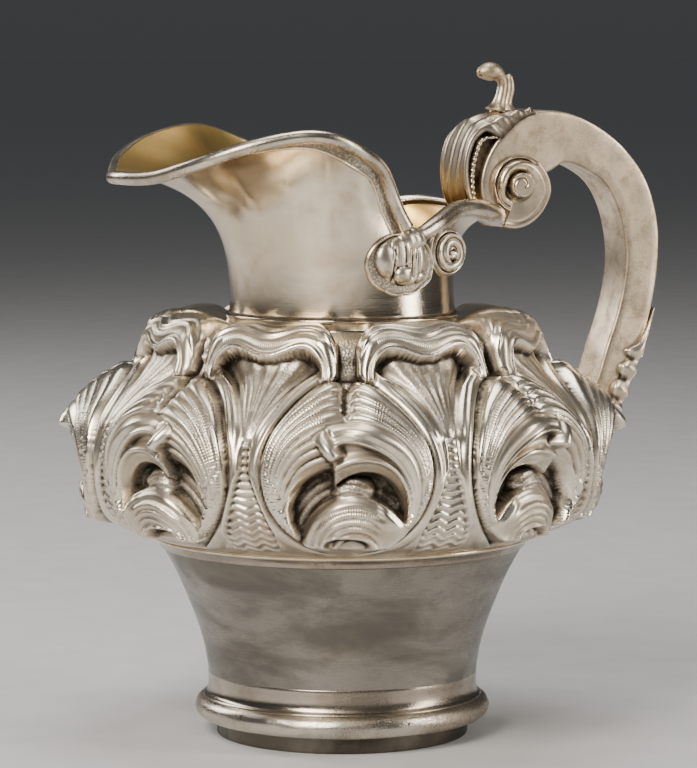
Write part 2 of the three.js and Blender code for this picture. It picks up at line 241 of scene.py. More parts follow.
class Nodes:
    """A short way to write a material's node tree."""

    def __init__(self, name):
        self.material = bpy.data.materials.new(name)
        self.material.use_nodes = True
        self.tree = self.material.node_tree
        self.tree.nodes.clear()
        self.output = self.tree.nodes.new("ShaderNodeOutputMaterial")
        self.shader = self.tree.nodes.new("ShaderNodeBsdfPrincipled")
        self.tree.links.new(self.shader.outputs[0], self.output.inputs[0])
        self.place = self.tree.nodes.new("ShaderNodeTexCoord").outputs["Object"]

    def node(self, kind, inputs=(), **settings):
        node = self.tree.nodes.new(kind)
        for key, value in settings.items():
            setattr(node, key, value)
        for key, value in dict(inputs).items():
            self.put(node.inputs[key], value)
        return node

    def put(self, socket, value):
        if isinstance(value, bpy.types.NodeSocket):
            self.tree.links.new(value, socket)
        else:
            socket.default_value = value

    def math(self, operation, *values, clamp=False):
        node = self.tree.nodes.new("ShaderNodeMath")
        node.operation = operation
        node.use_clamp = clamp
        for socket, value in zip(node.inputs, values):
            self.put(socket, value)
        return node.outputs[0]

    def times(self, first, second, clamp=False):
        return self.math("MULTIPLY", first, second, clamp=clamp)

    def plus(self, first, second):
        return self.math("ADD", first, second)

    def ranged(self, value, low, high, to_low=0.0, to_high=1.0):
        node = self.node("ShaderNodeMapRange", {"Value": value, "From Min": low, "From Max": high,
                                                "To Min": to_low, "To Max": to_high})
        node.interpolation_type = "SMOOTHSTEP"
        return node.outputs[0]

    def stretched(self, scale):
        return self.node("ShaderNodeMapping", {"Vector": self.place, "Scale": scale}).outputs[0]

    def noise(self, scale, detail=4.0, roughness=0.6, distortion=0.0, vector=None):
        inputs = {"Vector": vector or self.place, "Scale": scale, "Detail": detail,
                  "Roughness": roughness, "Distortion": distortion}
        return self.node("ShaderNodeTexNoise", inputs).outputs[0]

    def mix(self, share, first, second):
        node = self.tree.nodes.new("ShaderNodeMix")
        node.data_type = "RGBA"
        self.put(node.inputs[0], share)
        self.put(node.inputs[6], (*first, 1) if isinstance(first, tuple) else first)
        self.put(node.inputs[7], (*second, 1) if isinstance(second, tuple) else second)
        return node.outputs[2]

    def attribute(self, name):
        return self.node("ShaderNodeAttribute", attribute_name=name).outputs["Fac"]

    def relief(self, height, strength, distance, under=None):
        inputs = {"Height": height, "Strength": strength, "Distance": distance}
        if under is not None:
            inputs["Normal"] = under
        return self.node("ShaderNodeBump", inputs).outputs[0]

    def cells(self, scale):
        return self.node("ShaderNodeTexVoronoi", {"Vector": self.place, "Scale": scale}).outputs["Distance"]

    def metal(self, colour, roughness, normal):
        for key, value in (("Base Color", colour), ("Roughness", roughness), ("Normal", normal),
                           ("Metallic", 1.0)):
            self.put(self.shader.inputs[key], value)
        return self.material


BRIGHT = (0.80, 0.745, 0.655)
SILVER = (0.61, 0.55, 0.465)
WARM = (0.52, 0.405, 0.28)
COOL = (0.38, 0.375, 0.365)
# Near-black: real oxide in pits and matting, and painted shade in hollows.
OXIDE_AND_SHADE = (0.045, 0.036, 0.027)
UMBER = (0.34, 0.255, 0.16)
GILT = (0.74, 0.53, 0.19)
GILT_DEEP = (0.50, 0.30, 0.09)


def silver(name, rough, warm, cool, base, bright=BRIGHT, brush=0.0, pits=0.0, stipple=0.0, shaped=False,
           stains=0.0):
    """Silver with tarnish clouds, wear and, where asked, brush lines, pits or a matted ground; shaped pieces
    also get oxide and painted shade in their hollows.
    """
    n = Nodes(name)
    lying = n.stretched((0.8, 0.8, 1.9)) if brush > 0.2 else n.place
    clouds = n.noise(22.0, 6.0, 0.62, 0.5, lying)
    patches = n.noise(48.0, 6.0, 0.6, 0.3, lying)
    fine = n.noise(1500.0, 3.0, 0.7)
    colour = n.mix(n.ranged(clouds, 0.36, 0.62), bright, base)
    colour = n.mix(n.times(n.ranged(patches, 0.46, 0.74), warm), colour, WARM)
    streak = n.noise(30.0, 5.0, 0.65, 0.3, n.stretched((1.0, 1.0, 3.2)))
    colour = n.mix(n.times(n.ranged(streak, 0.52, 0.8), cool), colour, COOL)
    roughness = n.ranged(n.plus(clouds, n.times(fine, 0.25)), 0.45, 0.85, *rough)
    if stains:
        brown = n.ranged(n.noise(130.0, 7.0, 0.72, 0.4), 0.44, 0.66, 0.0, stains)
        colour = n.mix(brown, colour, UMBER)
        roughness = n.plus(roughness, n.times(brown, 0.08))
    normal = n.relief(fine, 0.12, 0.0002)
    if brush:
        lines = n.noise(90.0, 4.0, 0.75, 0.0, n.stretched((0.6, 0.6, 34.0)))
        normal = n.relief(lines, brush, 0.0003, normal)
        roughness = n.plus(roughness, n.ranged(lines, 0.3, 0.75, -0.05, 0.08))
    if pits:
        spots = n.noise(1700.0, 3.0, 0.75)
        hollow = n.times(n.ranged(spots, 0.47, 0.57), n.ranged(clouds, 0.42, 0.6, 0.25, 1.0))
        colour = n.mix(n.times(hollow, 0.9 * pits), colour, OXIDE_AND_SHADE)
        normal = n.relief(n.math("SUBTRACT", 1.0, hollow), 0.3 * pits, 0.0003, normal)
        roughness = n.plus(roughness, n.times(hollow, 0.2 * pits))
    if shaped:
        hollow = n.attribute("hollow")
        crest = n.attribute("crest")
        matted = n.attribute("matted")
        grain = n.cells(1150.0)
        dots = n.ranged(grain, 0.2, 0.55)
        # Hollows darkened: tarnish in the grooves and painted shade in deep recesses and under overhangs.
        hollow_oxide_and_shade = n.times(hollow, n.ranged(n.noise(210.0, 5.0, 0.7), 0.25, 0.6, 0.6, 1.15))
        colour = n.mix(n.times(crest, 0.8, clamp=True), colour, bright)
        colour = n.mix(n.times(n.times(matted, dots), 0.55), colour, OXIDE_AND_SHADE)
        colour = n.mix(n.times(hollow_oxide_and_shade, 0.93, clamp=True), colour, OXIDE_AND_SHADE)
        colour = n.mix(n.times(n.attribute("gilded"), 0.8), colour, GILT)
        roughness = n.plus(roughness, n.times(hollow, 0.22))
        roughness = n.plus(roughness, n.times(matted, 0.15))
        roughness = n.math("SUBTRACT", roughness, n.times(crest, 0.08))
        normal = n.relief(n.times(grain, matted), 0.55, 0.0004, normal)
        milled = n.times(n.math("SINE", n.attribute("along")), n.attribute("milled"))
        normal = n.relief(milled, 0.35, 0.00025, normal)
    elif stipple:
        grain = n.cells(1100.0)
        dots = n.ranged(grain, 0.18, 0.5)
        colour = n.mix(n.times(dots, 0.6 * stipple), colour, OXIDE_AND_SHADE)
        normal = n.relief(grain, 0.6 * stipple, 0.0004, normal)
    return n.metal(colour, roughness, normal)


def gilt(name):
    """The gilt lining: warm, a little worn, deeper in tone in places."""
    n = Nodes(name)
    clouds = n.noise(26.0, 5.0, 0.6, 0.5)
    fine = n.noise(1300.0, 3.0, 0.7)
    lines = n.noise(80.0, 4.0, 0.7, 0.0, n.stretched((1.0, 1.0, 9.0)))
    colour = n.mix(n.ranged(clouds, 0.35, 0.7), GILT, GILT_DEEP)
    colour = n.mix(n.times(n.ranged(n.noise(60.0, 5.0, 0.7), 0.55, 0.8), 0.4), colour, SILVER)
    roughness = n.ranged(n.plus(clouds, n.times(fine, 0.2)), 0.4, 0.8, 0.26, 0.42)
    return n.metal(colour, roughness, n.relief(lines, 0.15, 0.0003, n.relief(fine, 0.12, 0.0002)))


SATIN = silver("satin_silver", rough=(0.22, 0.42), warm=0.12, cool=0.16, brush=0.4,
               bright=(0.30, 0.28, 0.245),
               base=(0.155, 0.144, 0.124))
RUBBED = silver("rubbed_silver", rough=(0.16, 0.32), warm=0.35, cool=0.1, pits=0.3,
                bright=(0.46, 0.40, 0.33),
                base=(0.27, 0.23, 0.185))
# Near-black painted shade for the band under the foot moulding, standing for the shadow there; its pits are
# real wear.
SHADE_PITTED = silver("pitted_silver_painted_shade", rough=(0.3, 0.48), warm=0.1, cool=0.1, pits=0.5, bright=(0.15, 0.135, 0.11),
              base=(0.07, 0.062, 0.05))
POLISHED = silver("polished_silver", rough=(0.07, 0.18), warm=0.9, cool=0.45, brush=0.08,
                  bright=(0.86, 0.76, 0.61),
                  base=(0.70, 0.595, 0.445))
WIRE = silver("wire_silver", rough=(0.2, 0.34), warm=0.6, cool=0.3, pits=0.35, bright=(0.76, 0.69, 0.58),
              base=(0.52, 0.45, 0.355), stains=0.5)
STIPPLED = silver("stippled_silver", rough=(0.3, 0.45), warm=0.6, cool=0.2, stipple=1.0,
                  base=(0.55, 0.47, 0.36))
SEAM = silver("solder_seam", rough=(0.4, 0.6), warm=0.6, cool=0.3, pits=1.0, bright=(0.22, 0.19, 0.155),
              base=(0.10, 0.085, 0.07))
WORN = silver("worn_silver", rough=(0.2, 0.38), warm=0.8, cool=0.4, pits=0.7, bright=(0.66, 0.60, 0.51),
              base=(0.44, 0.385, 0.31))
HANDLE = silver("handle_silver", rough=(0.3, 0.46), warm=1.0, cool=0.35, pits=0.3,
                bright=(0.85, 0.72, 0.55),
                base=(0.60, 0.49, 0.35), stains=0.75)
VOLUTE = silver("volute_silver", rough=(0.26, 0.42), warm=0.9, cool=0.3, shaped=True,
                bright=(0.80, 0.68, 0.52),
                base=(0.58, 0.475, 0.345), stains=0.6)
LEAF = silver("leaf_silver", rough=(0.29, 0.44), warm=0.7, cool=0.3, shaped=True,
              bright=(0.56, 0.495, 0.405),
              base=(0.32, 0.275, 0.215), stains=0.4)
CHASED = silver("chased_silver", rough=(0.27, 0.43), warm=0.7, cool=0.25, shaped=True,
                bright=(0.84, 0.765, 0.645),
                base=(0.62, 0.54, 0.43), stains=0.3)
LINING = gilt("gilt_lining")


# Foot and lower body --------------------------------------------------------

def build_foot():
    rim = rounded_profile([(44.5, 0), (48.3, 0), (48.3, 5.9), (46.4, 7.5), (46.4, 15.4), (44.5, 15.4)], 0.5)
    # The band under the torus is painted dark as shade.
    turned_piece("foot_band", rim, FOOT_FACETS, SHADE_PITTED, "worn_silver", "foot_rim")

    grid = turned(oval(51.7, 10.8, 4.75, 4.55, 40), FOOT_FACETS)
    wear = 0.12 * ripple_noise(grid[..., 0], grid[..., 1] + 3 * grid[..., 2], 5, 9, 0.1, 0.5)
    worn = grid + unit(grid * [1, 1, 0]) * wear[..., None]
    finish_piece(closed_ring("foot_torus", worn, WORN), "worn_silver", "foot_moulding")

    face = path_through([(53.5, 15.0), (53.2, 15.6), (52.4, 16.2), (51.85, 17.2), (51.5, 18.8),
                         (51.45, 20.8), (51.65, 23.4), (51.5, 24.6)], 28)
    cove = np.concatenate([face, [(50.2, 24.6), (50.2, 15.0)]])
    turned_piece("foot_cove", cove, FOOT_FACETS, RUBBED, "satin_silver", "foot_cavetto")


LOWER_RADIUS = 60.0
LOWER_OUTLINE = [(51.15, 19.75), (51.5, 24), (52.2, 29), (53.7, 36.5), (55.7, 43), (58.9, 51.6), (62.9, 61),
                 (67.2, 69.2), (71.3, 75.6), (72.1, 76.1)]


def build_lower_body():
    outside = path_through(LOWER_OUTLINE, 70)
    inside = outside[::-1] - [SHEET, 0]
    grid = turned(np.concatenate([outside, inside]), FACETS)
    dents = 0.10 * ripple_noise(grid[..., 0] / 10, grid[..., 1] / 10 + grid[..., 2] / 14, 11, 6, 0.4, 1.6)
    grid[..., :2] *= 1 + dents[..., None] / LOWER_RADIUS
    finish_piece(lined_ring("lower_wall", grid, SATIN, len(outside)), "satin_silver", "lower_body")

    turned_piece("girdle", oval(72.9, 77.1, 0.95, 0.85, 20), FACETS, POLISHED, "polished_silver",
                 "girdle_wire")
    level = np.linspace(72.6, 76.6, 26)
    wall = np.interp(level, outside[:, 1], outside[:, 0])
    fall = (level - level[0]) / (level[-1] - level[0])
    proud = 0.62 * smooth(fall, 0.0, 0.1) - 0.34 * bump(fall, 0.45, 0.22) + 0.1 * fall
    face = np.stack([wall + proud, level], 1)
    hidden = np.stack([wall - 0.5, level], 1)[::-1]
    turned_piece("girdle_strip", np.concatenate([face, hidden]), FACETS, RUBBED, "polished_silver",
                 "girdle_wire")

    low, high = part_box("bottom_plate")
    top = high.z / MM
    radius = (high.x - low.x) / 2 / MM
    bottom = rounded_profile([(0.02, top - 2.2), (radius, top - 1.2), (radius, top), (0.02, top - 1.0)],
                             0.3)
    turned_piece("base_plate", bottom, 128, LINING, "satin_silver", "bottom_plate")


# Chased band ----------------------------------------------------------------
# The map of the band has a lobe every eighth of a turn and a column between
# each two. p runs across a lobe and u across a column, in mm at the map's
# radius, and s runs up the wall and then in over the shoulder.

LOBES = 8
MAP_RADIUS = 100.0
HALF_SECTOR = math.pi / LOBES * MAP_RADIUS
GROUND = [(72.3, 77.6), (78, 79.3), (84, 81.4), (89, 84.8), (92.5, 89.3), (95, 95), (96.8, 103),
          (97.3, 112), (95.8, 119.5), (92.5, 126), (88, 131.5), (83.5, 136.2), (79.5, 140), (76, 144.5),
          (73.5, 149), (70, 153), (64, 155.8), (57, 157), (44.4, 157.4)]
LEVEL = 140.0
FAN = {"x": -0.8, "z": 110.9, "radius": 31.8}
LEFT_FAN = {"x": -4.2, "z": -13.4, "shrink": 14.5}
RIGHT_FAN = {"x": 5.2, "z": -11.7, "shrink": 14.2}
LEFT_STRANDS = [0, 0.16, 0.26, 0.36, 0.5, 0.6, 0.72, 0.85, 1.0]
RIGHT_STRANDS = [0, 0.17, 0.28, 0.38, 0.5]
TONGUE_RIDGES = [7.6, 10.4, 13.0, 15.6, 18.4]

lean_of = curve_through([(77, 0), (120, 0), (132, 6), (140, 14), (146, 22), (151, 34), (157, 50), (163, 68),
                         (170, 84), (185, 90)])
throat_half = curve_through([(80, 1.5), (118, 1.6), (124, 2.6), (130, 4.8), (136, 8.6), (141, 13.5),
                             (146, 19.5), (150, 24.0), (190, 24.0)])
cap_height = curve_through([(139, 1.5), (143, 2.6), (148, 3.4), (151, 4.2), (156, 6.1), (162, 6.6),
                            (169, 5.4), (175, 3.2), (180, 0.9), (182.5, 0.0), (190, 0.0)])


def ground_path():
    """The ground's outline, with the map's height at each point: z to LEVEL, then the length past it."""
    dense = path_through(GROUND, 1200)
    length = run_length(dense)
    turn = np.argmax(dense[:, 1] > LEVEL)
    mapped = np.where(np.arange(len(dense)) < turn, dense[:, 1], LEVEL + length - length[turn])
    return dense, length, mapped


def fan_share(p, z, fan):
    """Which of a fan's nested arcs a point is on: 0 on the outline, 1 on the inmost."""
    across, up = p - FAN["x"], z - FAN["z"]
    a = fan["x"] ** 2 + fan["z"] ** 2 - fan["shrink"] ** 2
    b = 2 * FAN["radius"] * fan["shrink"] - 2 * (across * fan["x"] + up * fan["z"])
    c = across**2 + up**2 - FAN["radius"] ** 2
    root = np.sqrt(np.maximum(b * b - 4 * a * c, 1))
    return -2 * c / (b + root)


def strands(share, edges):
    """Rounded overlapping strands between the edges, steep on their outer side."""
    height = np.zeros_like(share)
    for low, high in zip(edges[:-1], edges[1:]):
        t = np.clip((share - low) / (high - low), 0, 1)
        inside = (share >= low) & (share < high)
        rounded = np.sin(math.pi * t**0.6) ** 0.6 + 0.16 * bump(t, 0.72, 0.05)
        height = np.where(inside, rounded, height)
    return height


def cleft(p, z):
    """How far the notch at a lobe's top draws its outline down."""
    return 4.4 * bump(p, -0.6, 2.4) * smooth(z, 128, 137)


def lobe_relief(p, z, ground):
    """Height of a lobe over the ground, its milling, the way along the milling and its matting."""
    zc = z + cleft(p, z)
    reach = ((p - FAN["x"]) ** 2 + (zc - FAN["z"]) ** 2) / FAN["radius"] ** 2
    swell = 5.4 + 5.4 * smooth(z, 106, 131)
    dome = 0.8 + swell * np.clip(1 - reach, 0, 1) ** 0.6
    dome = dome + (1.4 * bump(np.abs(p + 1.5), 12, 7) - 2.2 * bump(p, -1.5, 4.5)) * smooth(z, 120, 132)
    left = fan_share(p, zc, LEFT_FAN)
    right = fan_share(p, zc, RIGHT_FAN)
    radius = np.hypot((p - 2.0) / 0.94, z - 80.0)
    floor = 90.6 + 1.0 * np.abs(np.sin(math.pi * (radius - 24) / 3.4)) ** 0.7 - ground

    fold = ((p + 12.8) * 8.8 + (z - 124.9) * 6) / 10.65
    on_right = np.where(zc > 130, p > -1.4, np.where(right > 0.49, fold > 0, p > -1.4))
    on_right = np.where(z < 116.2, p > -5.8, on_right)

    left_height = blend(dome, floor + 5.5, smooth(left, 0.42, 1.02) ** 1.5)
    left_height = left_height + 2.3 * strands(left, LEFT_STRANDS)
    left_height = blend(left_height, floor, smooth(left, 1.0, 1.16))

    crest_at = 0.71 + 0.17 * smooth(p, -4, 20)
    crescent = 1.7 * np.sin(math.pi * np.clip((right - 0.5) / (crest_at - 0.5), 0, 1)) ** 0.8
    hood = smooth(right, 0.49, 0.52)
    lip = 102.7 - 2.2 * smooth(p, 6, 24) - 1.4 * smooth(110 - z, 0, 14) - ground
    right_height = dome + 2.3 * strands(right, RIGHT_STRANDS) * (1 - hood)
    right_height = blend(right_height, lip, smooth(right, 0.42, 0.98))
    lines = bump(right, crest_at - 0.07, 0.012) + bump(right, crest_at - 0.11, 0.012)
    right_height = right_height + hood * (crescent - 0.5 * lines) + 1.9 * bump(right, crest_at, 0.028)
    past_crest = smooth(right, crest_at, crest_at + 0.05)
    flute = np.sin(math.pi * np.clip((right - crest_at) / (0.95 - crest_at), 0, 1))
    right_height = right_height - 1.9 * flute * past_crest + 0.9 * bump(right, 0.995, 0.03)
    under = lip - 1.6 - 3.4 * smooth(right, 1.03, 1.2)
    right_height = blend(right_height, under, smooth(right, 1.012, 1.04))
    right_height = blend(right_height, floor, smooth(right, 1.19, 1.235))
    tab = 1.3 * bump(fold, 2.4, 1.7) - 1.5 * bump(fold, 5.2, 0.8)
    in_tab = smooth(right, 0.5, 0.56) * (1 - smooth(right, 0.84, 0.92))
    plain = dome + 2.6 * smooth(right, 0.45, 0.75) + tab
    right_height = right_height + (plain - right_height) * in_tab * (1 - smooth(fold, 4.6, 6.4))

    height = np.where(on_right, right_height, left_height)
    height = height - 2.6 * bump(p, -1.5, 0.9) * smooth(zc, 129, 135)
    height = height + 2.8 * bump(p, 0.0, 1.4) * bump(z, 134.5, 3.4)

    leaf = floor + 6.2 * np.clip(1 - ((p - 1.6) / 8.6) ** 2 - ((z - 104.5) / 5.2) ** 2, 0, 1) ** 0.4
    leaf = leaf + 0.6 * np.sin((z + 0.05 * p * p) * 3.3)
    height = np.where((right > 1.235) & (leaf > floor + 0.8), np.maximum(height, leaf), height)

    tail = smooth(-p, 3, 17)
    head = smooth(p, 9.0, 13.5)
    slope = 98.8 - 3.4 * smooth(radius, 20.0, 24.0) - 2.6 * smooth(94 - z, 0, 9) - 3.2 * tail
    tongue = slope - ground + 1.5 * strands(radius, TONGUE_RIDGES) * (1 - head) * (1 - 0.4 * tail)
    tongue = tongue + 1.3 * head * smooth(z, 86, 92) + 1.1 * bump(radius, 22.6, 0.7) * smooth(p, -8, 4)
    pit = ((p + 0.8) / 9.0) ** 2 + ((z - 84.6) / 3.4) ** 2
    tongue = tongue - 4.5 * smooth(1 - pit, 0.0, 0.35) + 0.8 * bump(pit, 1.15, 0.15)
    on_tongue = smooth(23.8 - radius, 0.0, 0.8)
    height = blend(height, tongue, on_tongue)

    milled_left = smooth(left, 0.1, 0.14) * (1 - smooth(left, 0.6, 0.72)) * smooth(-p, 6, 12)
    milled_right = smooth(right, 0.12, 0.16) * (1 - smooth(right, 0.44, 0.5)) * smooth(p, 8, 14)
    milled = np.where(on_right, milled_right, milled_left)
    milled = 0.5 * np.where(radius < 23, smooth(20 - radius, 0, 2) * (1 - smooth(p, 8, 12)), milled)
    turn = np.where(radius < 23, np.arctan2(z - 80, p - 2) * 17, np.arctan2(z - 104, p) * 24)
    matted = np.where((left > 1.05) | (right > 1.22), 0.6, 0.0) * (1 - on_tongue)
    height = height * smooth(z, 81.0, 84.2)
    return height, milled, turn, matted


def column_relief(u, s, outside):
    """Height of a column over the ground (ladder, trumpet and two-humped cap), milling, cap and matting."""
    width = 1.4 + 0.31 * np.clip(112 - s, 0, 24)
    wave = 0.8 * np.cos(u * math.pi / 3.4) * smooth(108 - s, 0, 16)
    rungs = (0.5 + 0.5 * np.cos((s + wave) * FULL_TURN / 2.8)) ** 1.4
    in_ladder = smooth(width - np.abs(u), 0.0, 0.5) * smooth(126 - s, 0, 3)
    strip = 0.4 + 1.5 * np.sin(math.pi * np.clip(outside / 5.2, 0, 1)) ** 0.8
    strip = strip - 1.6 * bump(outside, 0.1, 0.45)
    strip = strip + 0.7 * bump(np.abs(u), width + 0.5, 0.45) * (s < 124)
    height = blend(strip, -0.6 + 1.1 * rungs, in_ladder)

    throat = throat_half(s)
    beyond = np.abs(u) - throat
    bell = 1.5 * (1 - np.clip(np.abs(u) / throat, 0, 1) ** 2) - 0.2
    bell = bell + 0.22 * np.cos(3.5 * FULL_TURN * u / throat)
    bell = bell - 3.4 * smooth(s, 133, 147) * smooth(np.abs(u) / throat, 0.4, 0.95)
    bell = bell - 0.8 * smooth(s, 142, 149)
    bell = bell + 0.9 * bump(beyond, 0.2, 0.6)
    v = np.clip(beyond / np.maximum(beyond + np.maximum(outside, 0), 0.1), 0, 1)
    flank = 0.9 + 1.5 * np.sin(math.pi * v) ** 0.8 - 0.8 * bump(v, 0.42, 0.07)
    flank = flank - 1.5 * bump(outside, 0.1, 0.5)
    flank = flank * (1 - smooth(s, 143, 148))
    in_trumpet = smooth(-beyond, -0.3, 0.5) * smooth(s, 119, 124)
    height = blend(height, blend(flank, bell, in_trumpet), smooth(s, 119, 126))

    lip = 149.6 + 3.0 * np.sin(math.pi * np.clip(np.abs(u), 0, 15) / 30) ** 2
    corner = 8.0
    side, over = np.abs(u) - (23.0 - corner), s - (lip - corner)
    edge = np.hypot(np.maximum(side, 0), np.maximum(over, 0)) - corner
    edge = edge + np.minimum(np.maximum(side, over), 0)
    outer = 29.6 - 12.5 * smooth(s, 155, 180) - 3.0 * smooth(146 - s, 0, 6)
    reach = np.clip((outer - np.abs(u)) / 6.0, 0, 1)
    cap = cap_height(s) * np.sqrt(1 - (1 - reach) ** 2)
    lines = 1.1 * bump(edge, 0.9, 0.8) - 0.8 * bump(edge, 2.3, 0.4) + 0.3 * bump(edge, 4.2, 1.5)
    lines = lines - 0.6 * bump(edge, 6.4, 0.35) + 0.9 * bump(edge, 7.5, 0.8) - 0.9 * bump(edge, 9.1, 0.45)
    lines = lines + 0.35 * bump(edge, 10.6, 0.8) - 0.55 * bump(edge, 12.2, 0.4)
    lines = lines - 0.4 * bump(edge, 14.4, 0.4)
    cap = cap + lines * reach**0.5 * (1 - smooth(s, 164, 174))
    on_cap = smooth(edge, -0.3, 0.15) * smooth(reach, 0.0, 0.04) * smooth(s, 140.5, 143)
    height = blend(height, cap, on_cap)
    milled = bump(edge, 4.3, 0.9) * on_cap * (np.abs(u) < 21)
    matted = 0.35 * (1 - on_cap) * in_trumpet * smooth(s, 121, 128)
    return height, milled, on_cap, matted


def band_relief(angle, s, ground):
    """Height, milling and matting over the whole band, at angle round the axis and s up it."""
    step = FULL_TURN / LOBES
    turn = angle / step - 0.5
    index = np.round(turn)
    p = (turn - index) * 2 * HALF_SECTOR
    hand = np.where(np.mod(index, 2) < 0.5, -1.0, 1.0)
    drift = 0.3 * ripple_noise(angle * 14, s / 7, 21)
    z = s + 0.25 * ripple_noise(angle * 12, s / 8, 22)
    lobe, milled, along, matted = lobe_relief(p * hand + drift, z, ground)
    lobe = lobe + 0.25 * ripple_noise(angle * 7, s / 18, 23)
    u = 0.85 * np.sign(p) * (HALF_SECTOR - np.abs(p)) + 0.2 * ripple_noise(angle * 11, s / 9, 24)
    outside = np.hypot(p * hand - FAN["x"], z + cleft(p * hand, z) - FAN["z"]) - FAN["radius"]
    column, column_milled, on_cap, ground_grain = column_relief(u, z, outside)

    shoulder = smooth(s, 140, 144)
    gap = shoulder * (1 - smooth(s, 150, 158))
    open_ground = shoulder * (1 - on_cap) * smooth(np.abs(u), 22, 24)
    column = column * (1 - open_ground) - 3.6 * gap * open_ground
    share = smooth(-outside, -0.25, 0.35) * (s < 148)
    height = blend(column, lobe, share)
    height = height * smooth(s, 77.8, 79.4) * (1 - smooth(s, 180, 182.4))
    milled = blend(column_milled, milled, share)
    along = np.where(share > 0.5, along, u)
    matted = np.maximum(matted * share, np.maximum(open_ground, ground_grain) * (1 - share))
    return height, milled, along, matted


def blurred(field, reach, spacing):
    """A field whose rows go right round, evened out over a reach in mm; spacing is its grid's, in mm."""
    padding = field[:, ::-1]
    wide = np.concatenate([padding, field, padding], axis=1)
    rows, columns = wide.shape
    row_wave = np.fft.fftfreq(rows)[:, None] * (reach / spacing[0])
    column_wave = np.fft.rfftfreq(columns)[None, :] * (reach / spacing[1])
    damp = np.exp(-2 * math.pi**2 * (row_wave**2 + column_wave**2))
    smoothed = np.fft.irfft2(np.fft.rfft2(wide) * damp, s=wide.shape)
    return smoothed[:, field.shape[1]: 2 * field.shape[1]]


BAND_COLUMNS = LOBES * 160
BAND_ROWS = 250
BAND_RADIUS = 92
BAND_SHEET = 1.3
MILLING_PITCH = 0.85


def build_band():
    dense, length, mapped = ground_path()
    lengths = np.linspace(0, length[-1], BAND_ROWS)
    s = np.interp(lengths, length, mapped)
    angles, rows = np.meshgrid(around(BAND_COLUMNS), s, indexing="ij")
    radius, level = [np.interp(lengths, length, column)[None, :] for column in dense.T]
    height, milled, along, matted = band_relief(angles, rows, radius + 0 * angles)
    spacing = (FULL_TURN * BAND_RADIUS / BAND_COLUMNS, length[-1] / BAND_ROWS)
    height = blurred(height, 0.3, spacing)
    lean = np.radians(lean_of(rows))
    radius_out = radius + height * np.cos(lean)
    level_out = level + height * np.sin(lean)
    outer = polar_points(radius_out, angles, level_out)

    # The hollow mark darkens fine grooves as tarnish and the deep cavities under hoods and lips as painted
    # shade.
    near = height - blurred(height, 0.9, spacing)
    wide = height - blurred(height, 4.2, spacing)
    deep = smooth(-blurred(height, 1.5, spacing), 3.0, 8.0)
    hollow = np.clip(smooth(-near, 0.1, 0.7) * 0.8 + 0.8 * smooth(-wide, 0.6, 4.0) + 0.35 * deep, 0, 1)
    crest = np.clip(smooth(near, 0.05, 0.5) * 0.8 + smooth(wide, 0.6, 3.2) * 0.6, 0, 1)

    every = slice(None, None, -12)
    inner_radius = np.minimum(radius[0], radius_out.min(axis=0))[every] - BAND_SHEET
    inner_level = np.minimum(level[0], level_out.min(axis=0))[every]
    inner_level = inner_level - BAND_SHEET * smooth(s, 146, 158)[every]
    inner_radius[0], inner_radius[-1] = 43.2, 71.0
    inner_level[-1] = dense[0, 1]
    inner = turned(np.stack([inner_radius, inner_level], 1), BAND_COLUMNS)
    fields = {"hollow": hollow, "crest": crest, "matted": matted, "milled": milled,
              "along": along * FULL_TURN / MILLING_PITCH}
    piece = lined_ring("chased_lobes", np.concatenate([outer, inner], axis=1), CHASED, outer.shape[1],
                       attributes=padded(fields, inner.shape[1]))
    finish_piece(piece, "chased_silver", "chased_band")


# Neck, spout and rim ----------------------------------------------------------

NECK_BASE = 162.4
NECK_RADIUS = 43.0
NECK_COLUMNS = 420
NECK_ROWS = 110
RIM = [(-28, 48.6, 201.6), (-9, 61.0, 198.2), (0, 61.5, 197.5), (9, 61.0, 198.2), (28, 48.6, 201.6),
       (40, 43.2, 200.2), (60, 41.8, 195.2), (76, 41.3, 193.1), (84, 40.8, 201.4), (91, 42.2, 211.6),
       (98, 47.6, 219.4), (105, 57.0, 224.2), (113, 65.2, 229.6), (121, 69.4, 232.0), (130, 72.8, 231.2),
       (141, 80.2, 227.4), (153, 85.5, 221.4), (167, 87.8, 216.3), (180, 92.3, 215.9), (193, 87.8, 216.3)]


def softened(curve, reach):
    """The curve with its small kinks evened out."""
    return lambda x: (curve(x - reach) + 2 * curve(x) + curve(x + reach)) / 4


rim_radius = softened(curve_through([(a, r) for a, r, z in RIM]), 3.5)
rim_level = softened(curve_through([(a, z) for a, r, z in RIM]), 3.5)


def folded(angle):
    """Degrees round from the handle, the same on both sides of its plane."""
    degrees = np.degrees(np.mod(angle, FULL_TURN))
    return np.where(degrees > 180, 360 - degrees, degrees)


def rim_at(angle):
    """Radius and height of the rim."""
    return rim_radius(folded(angle)), rim_level(folded(angle))


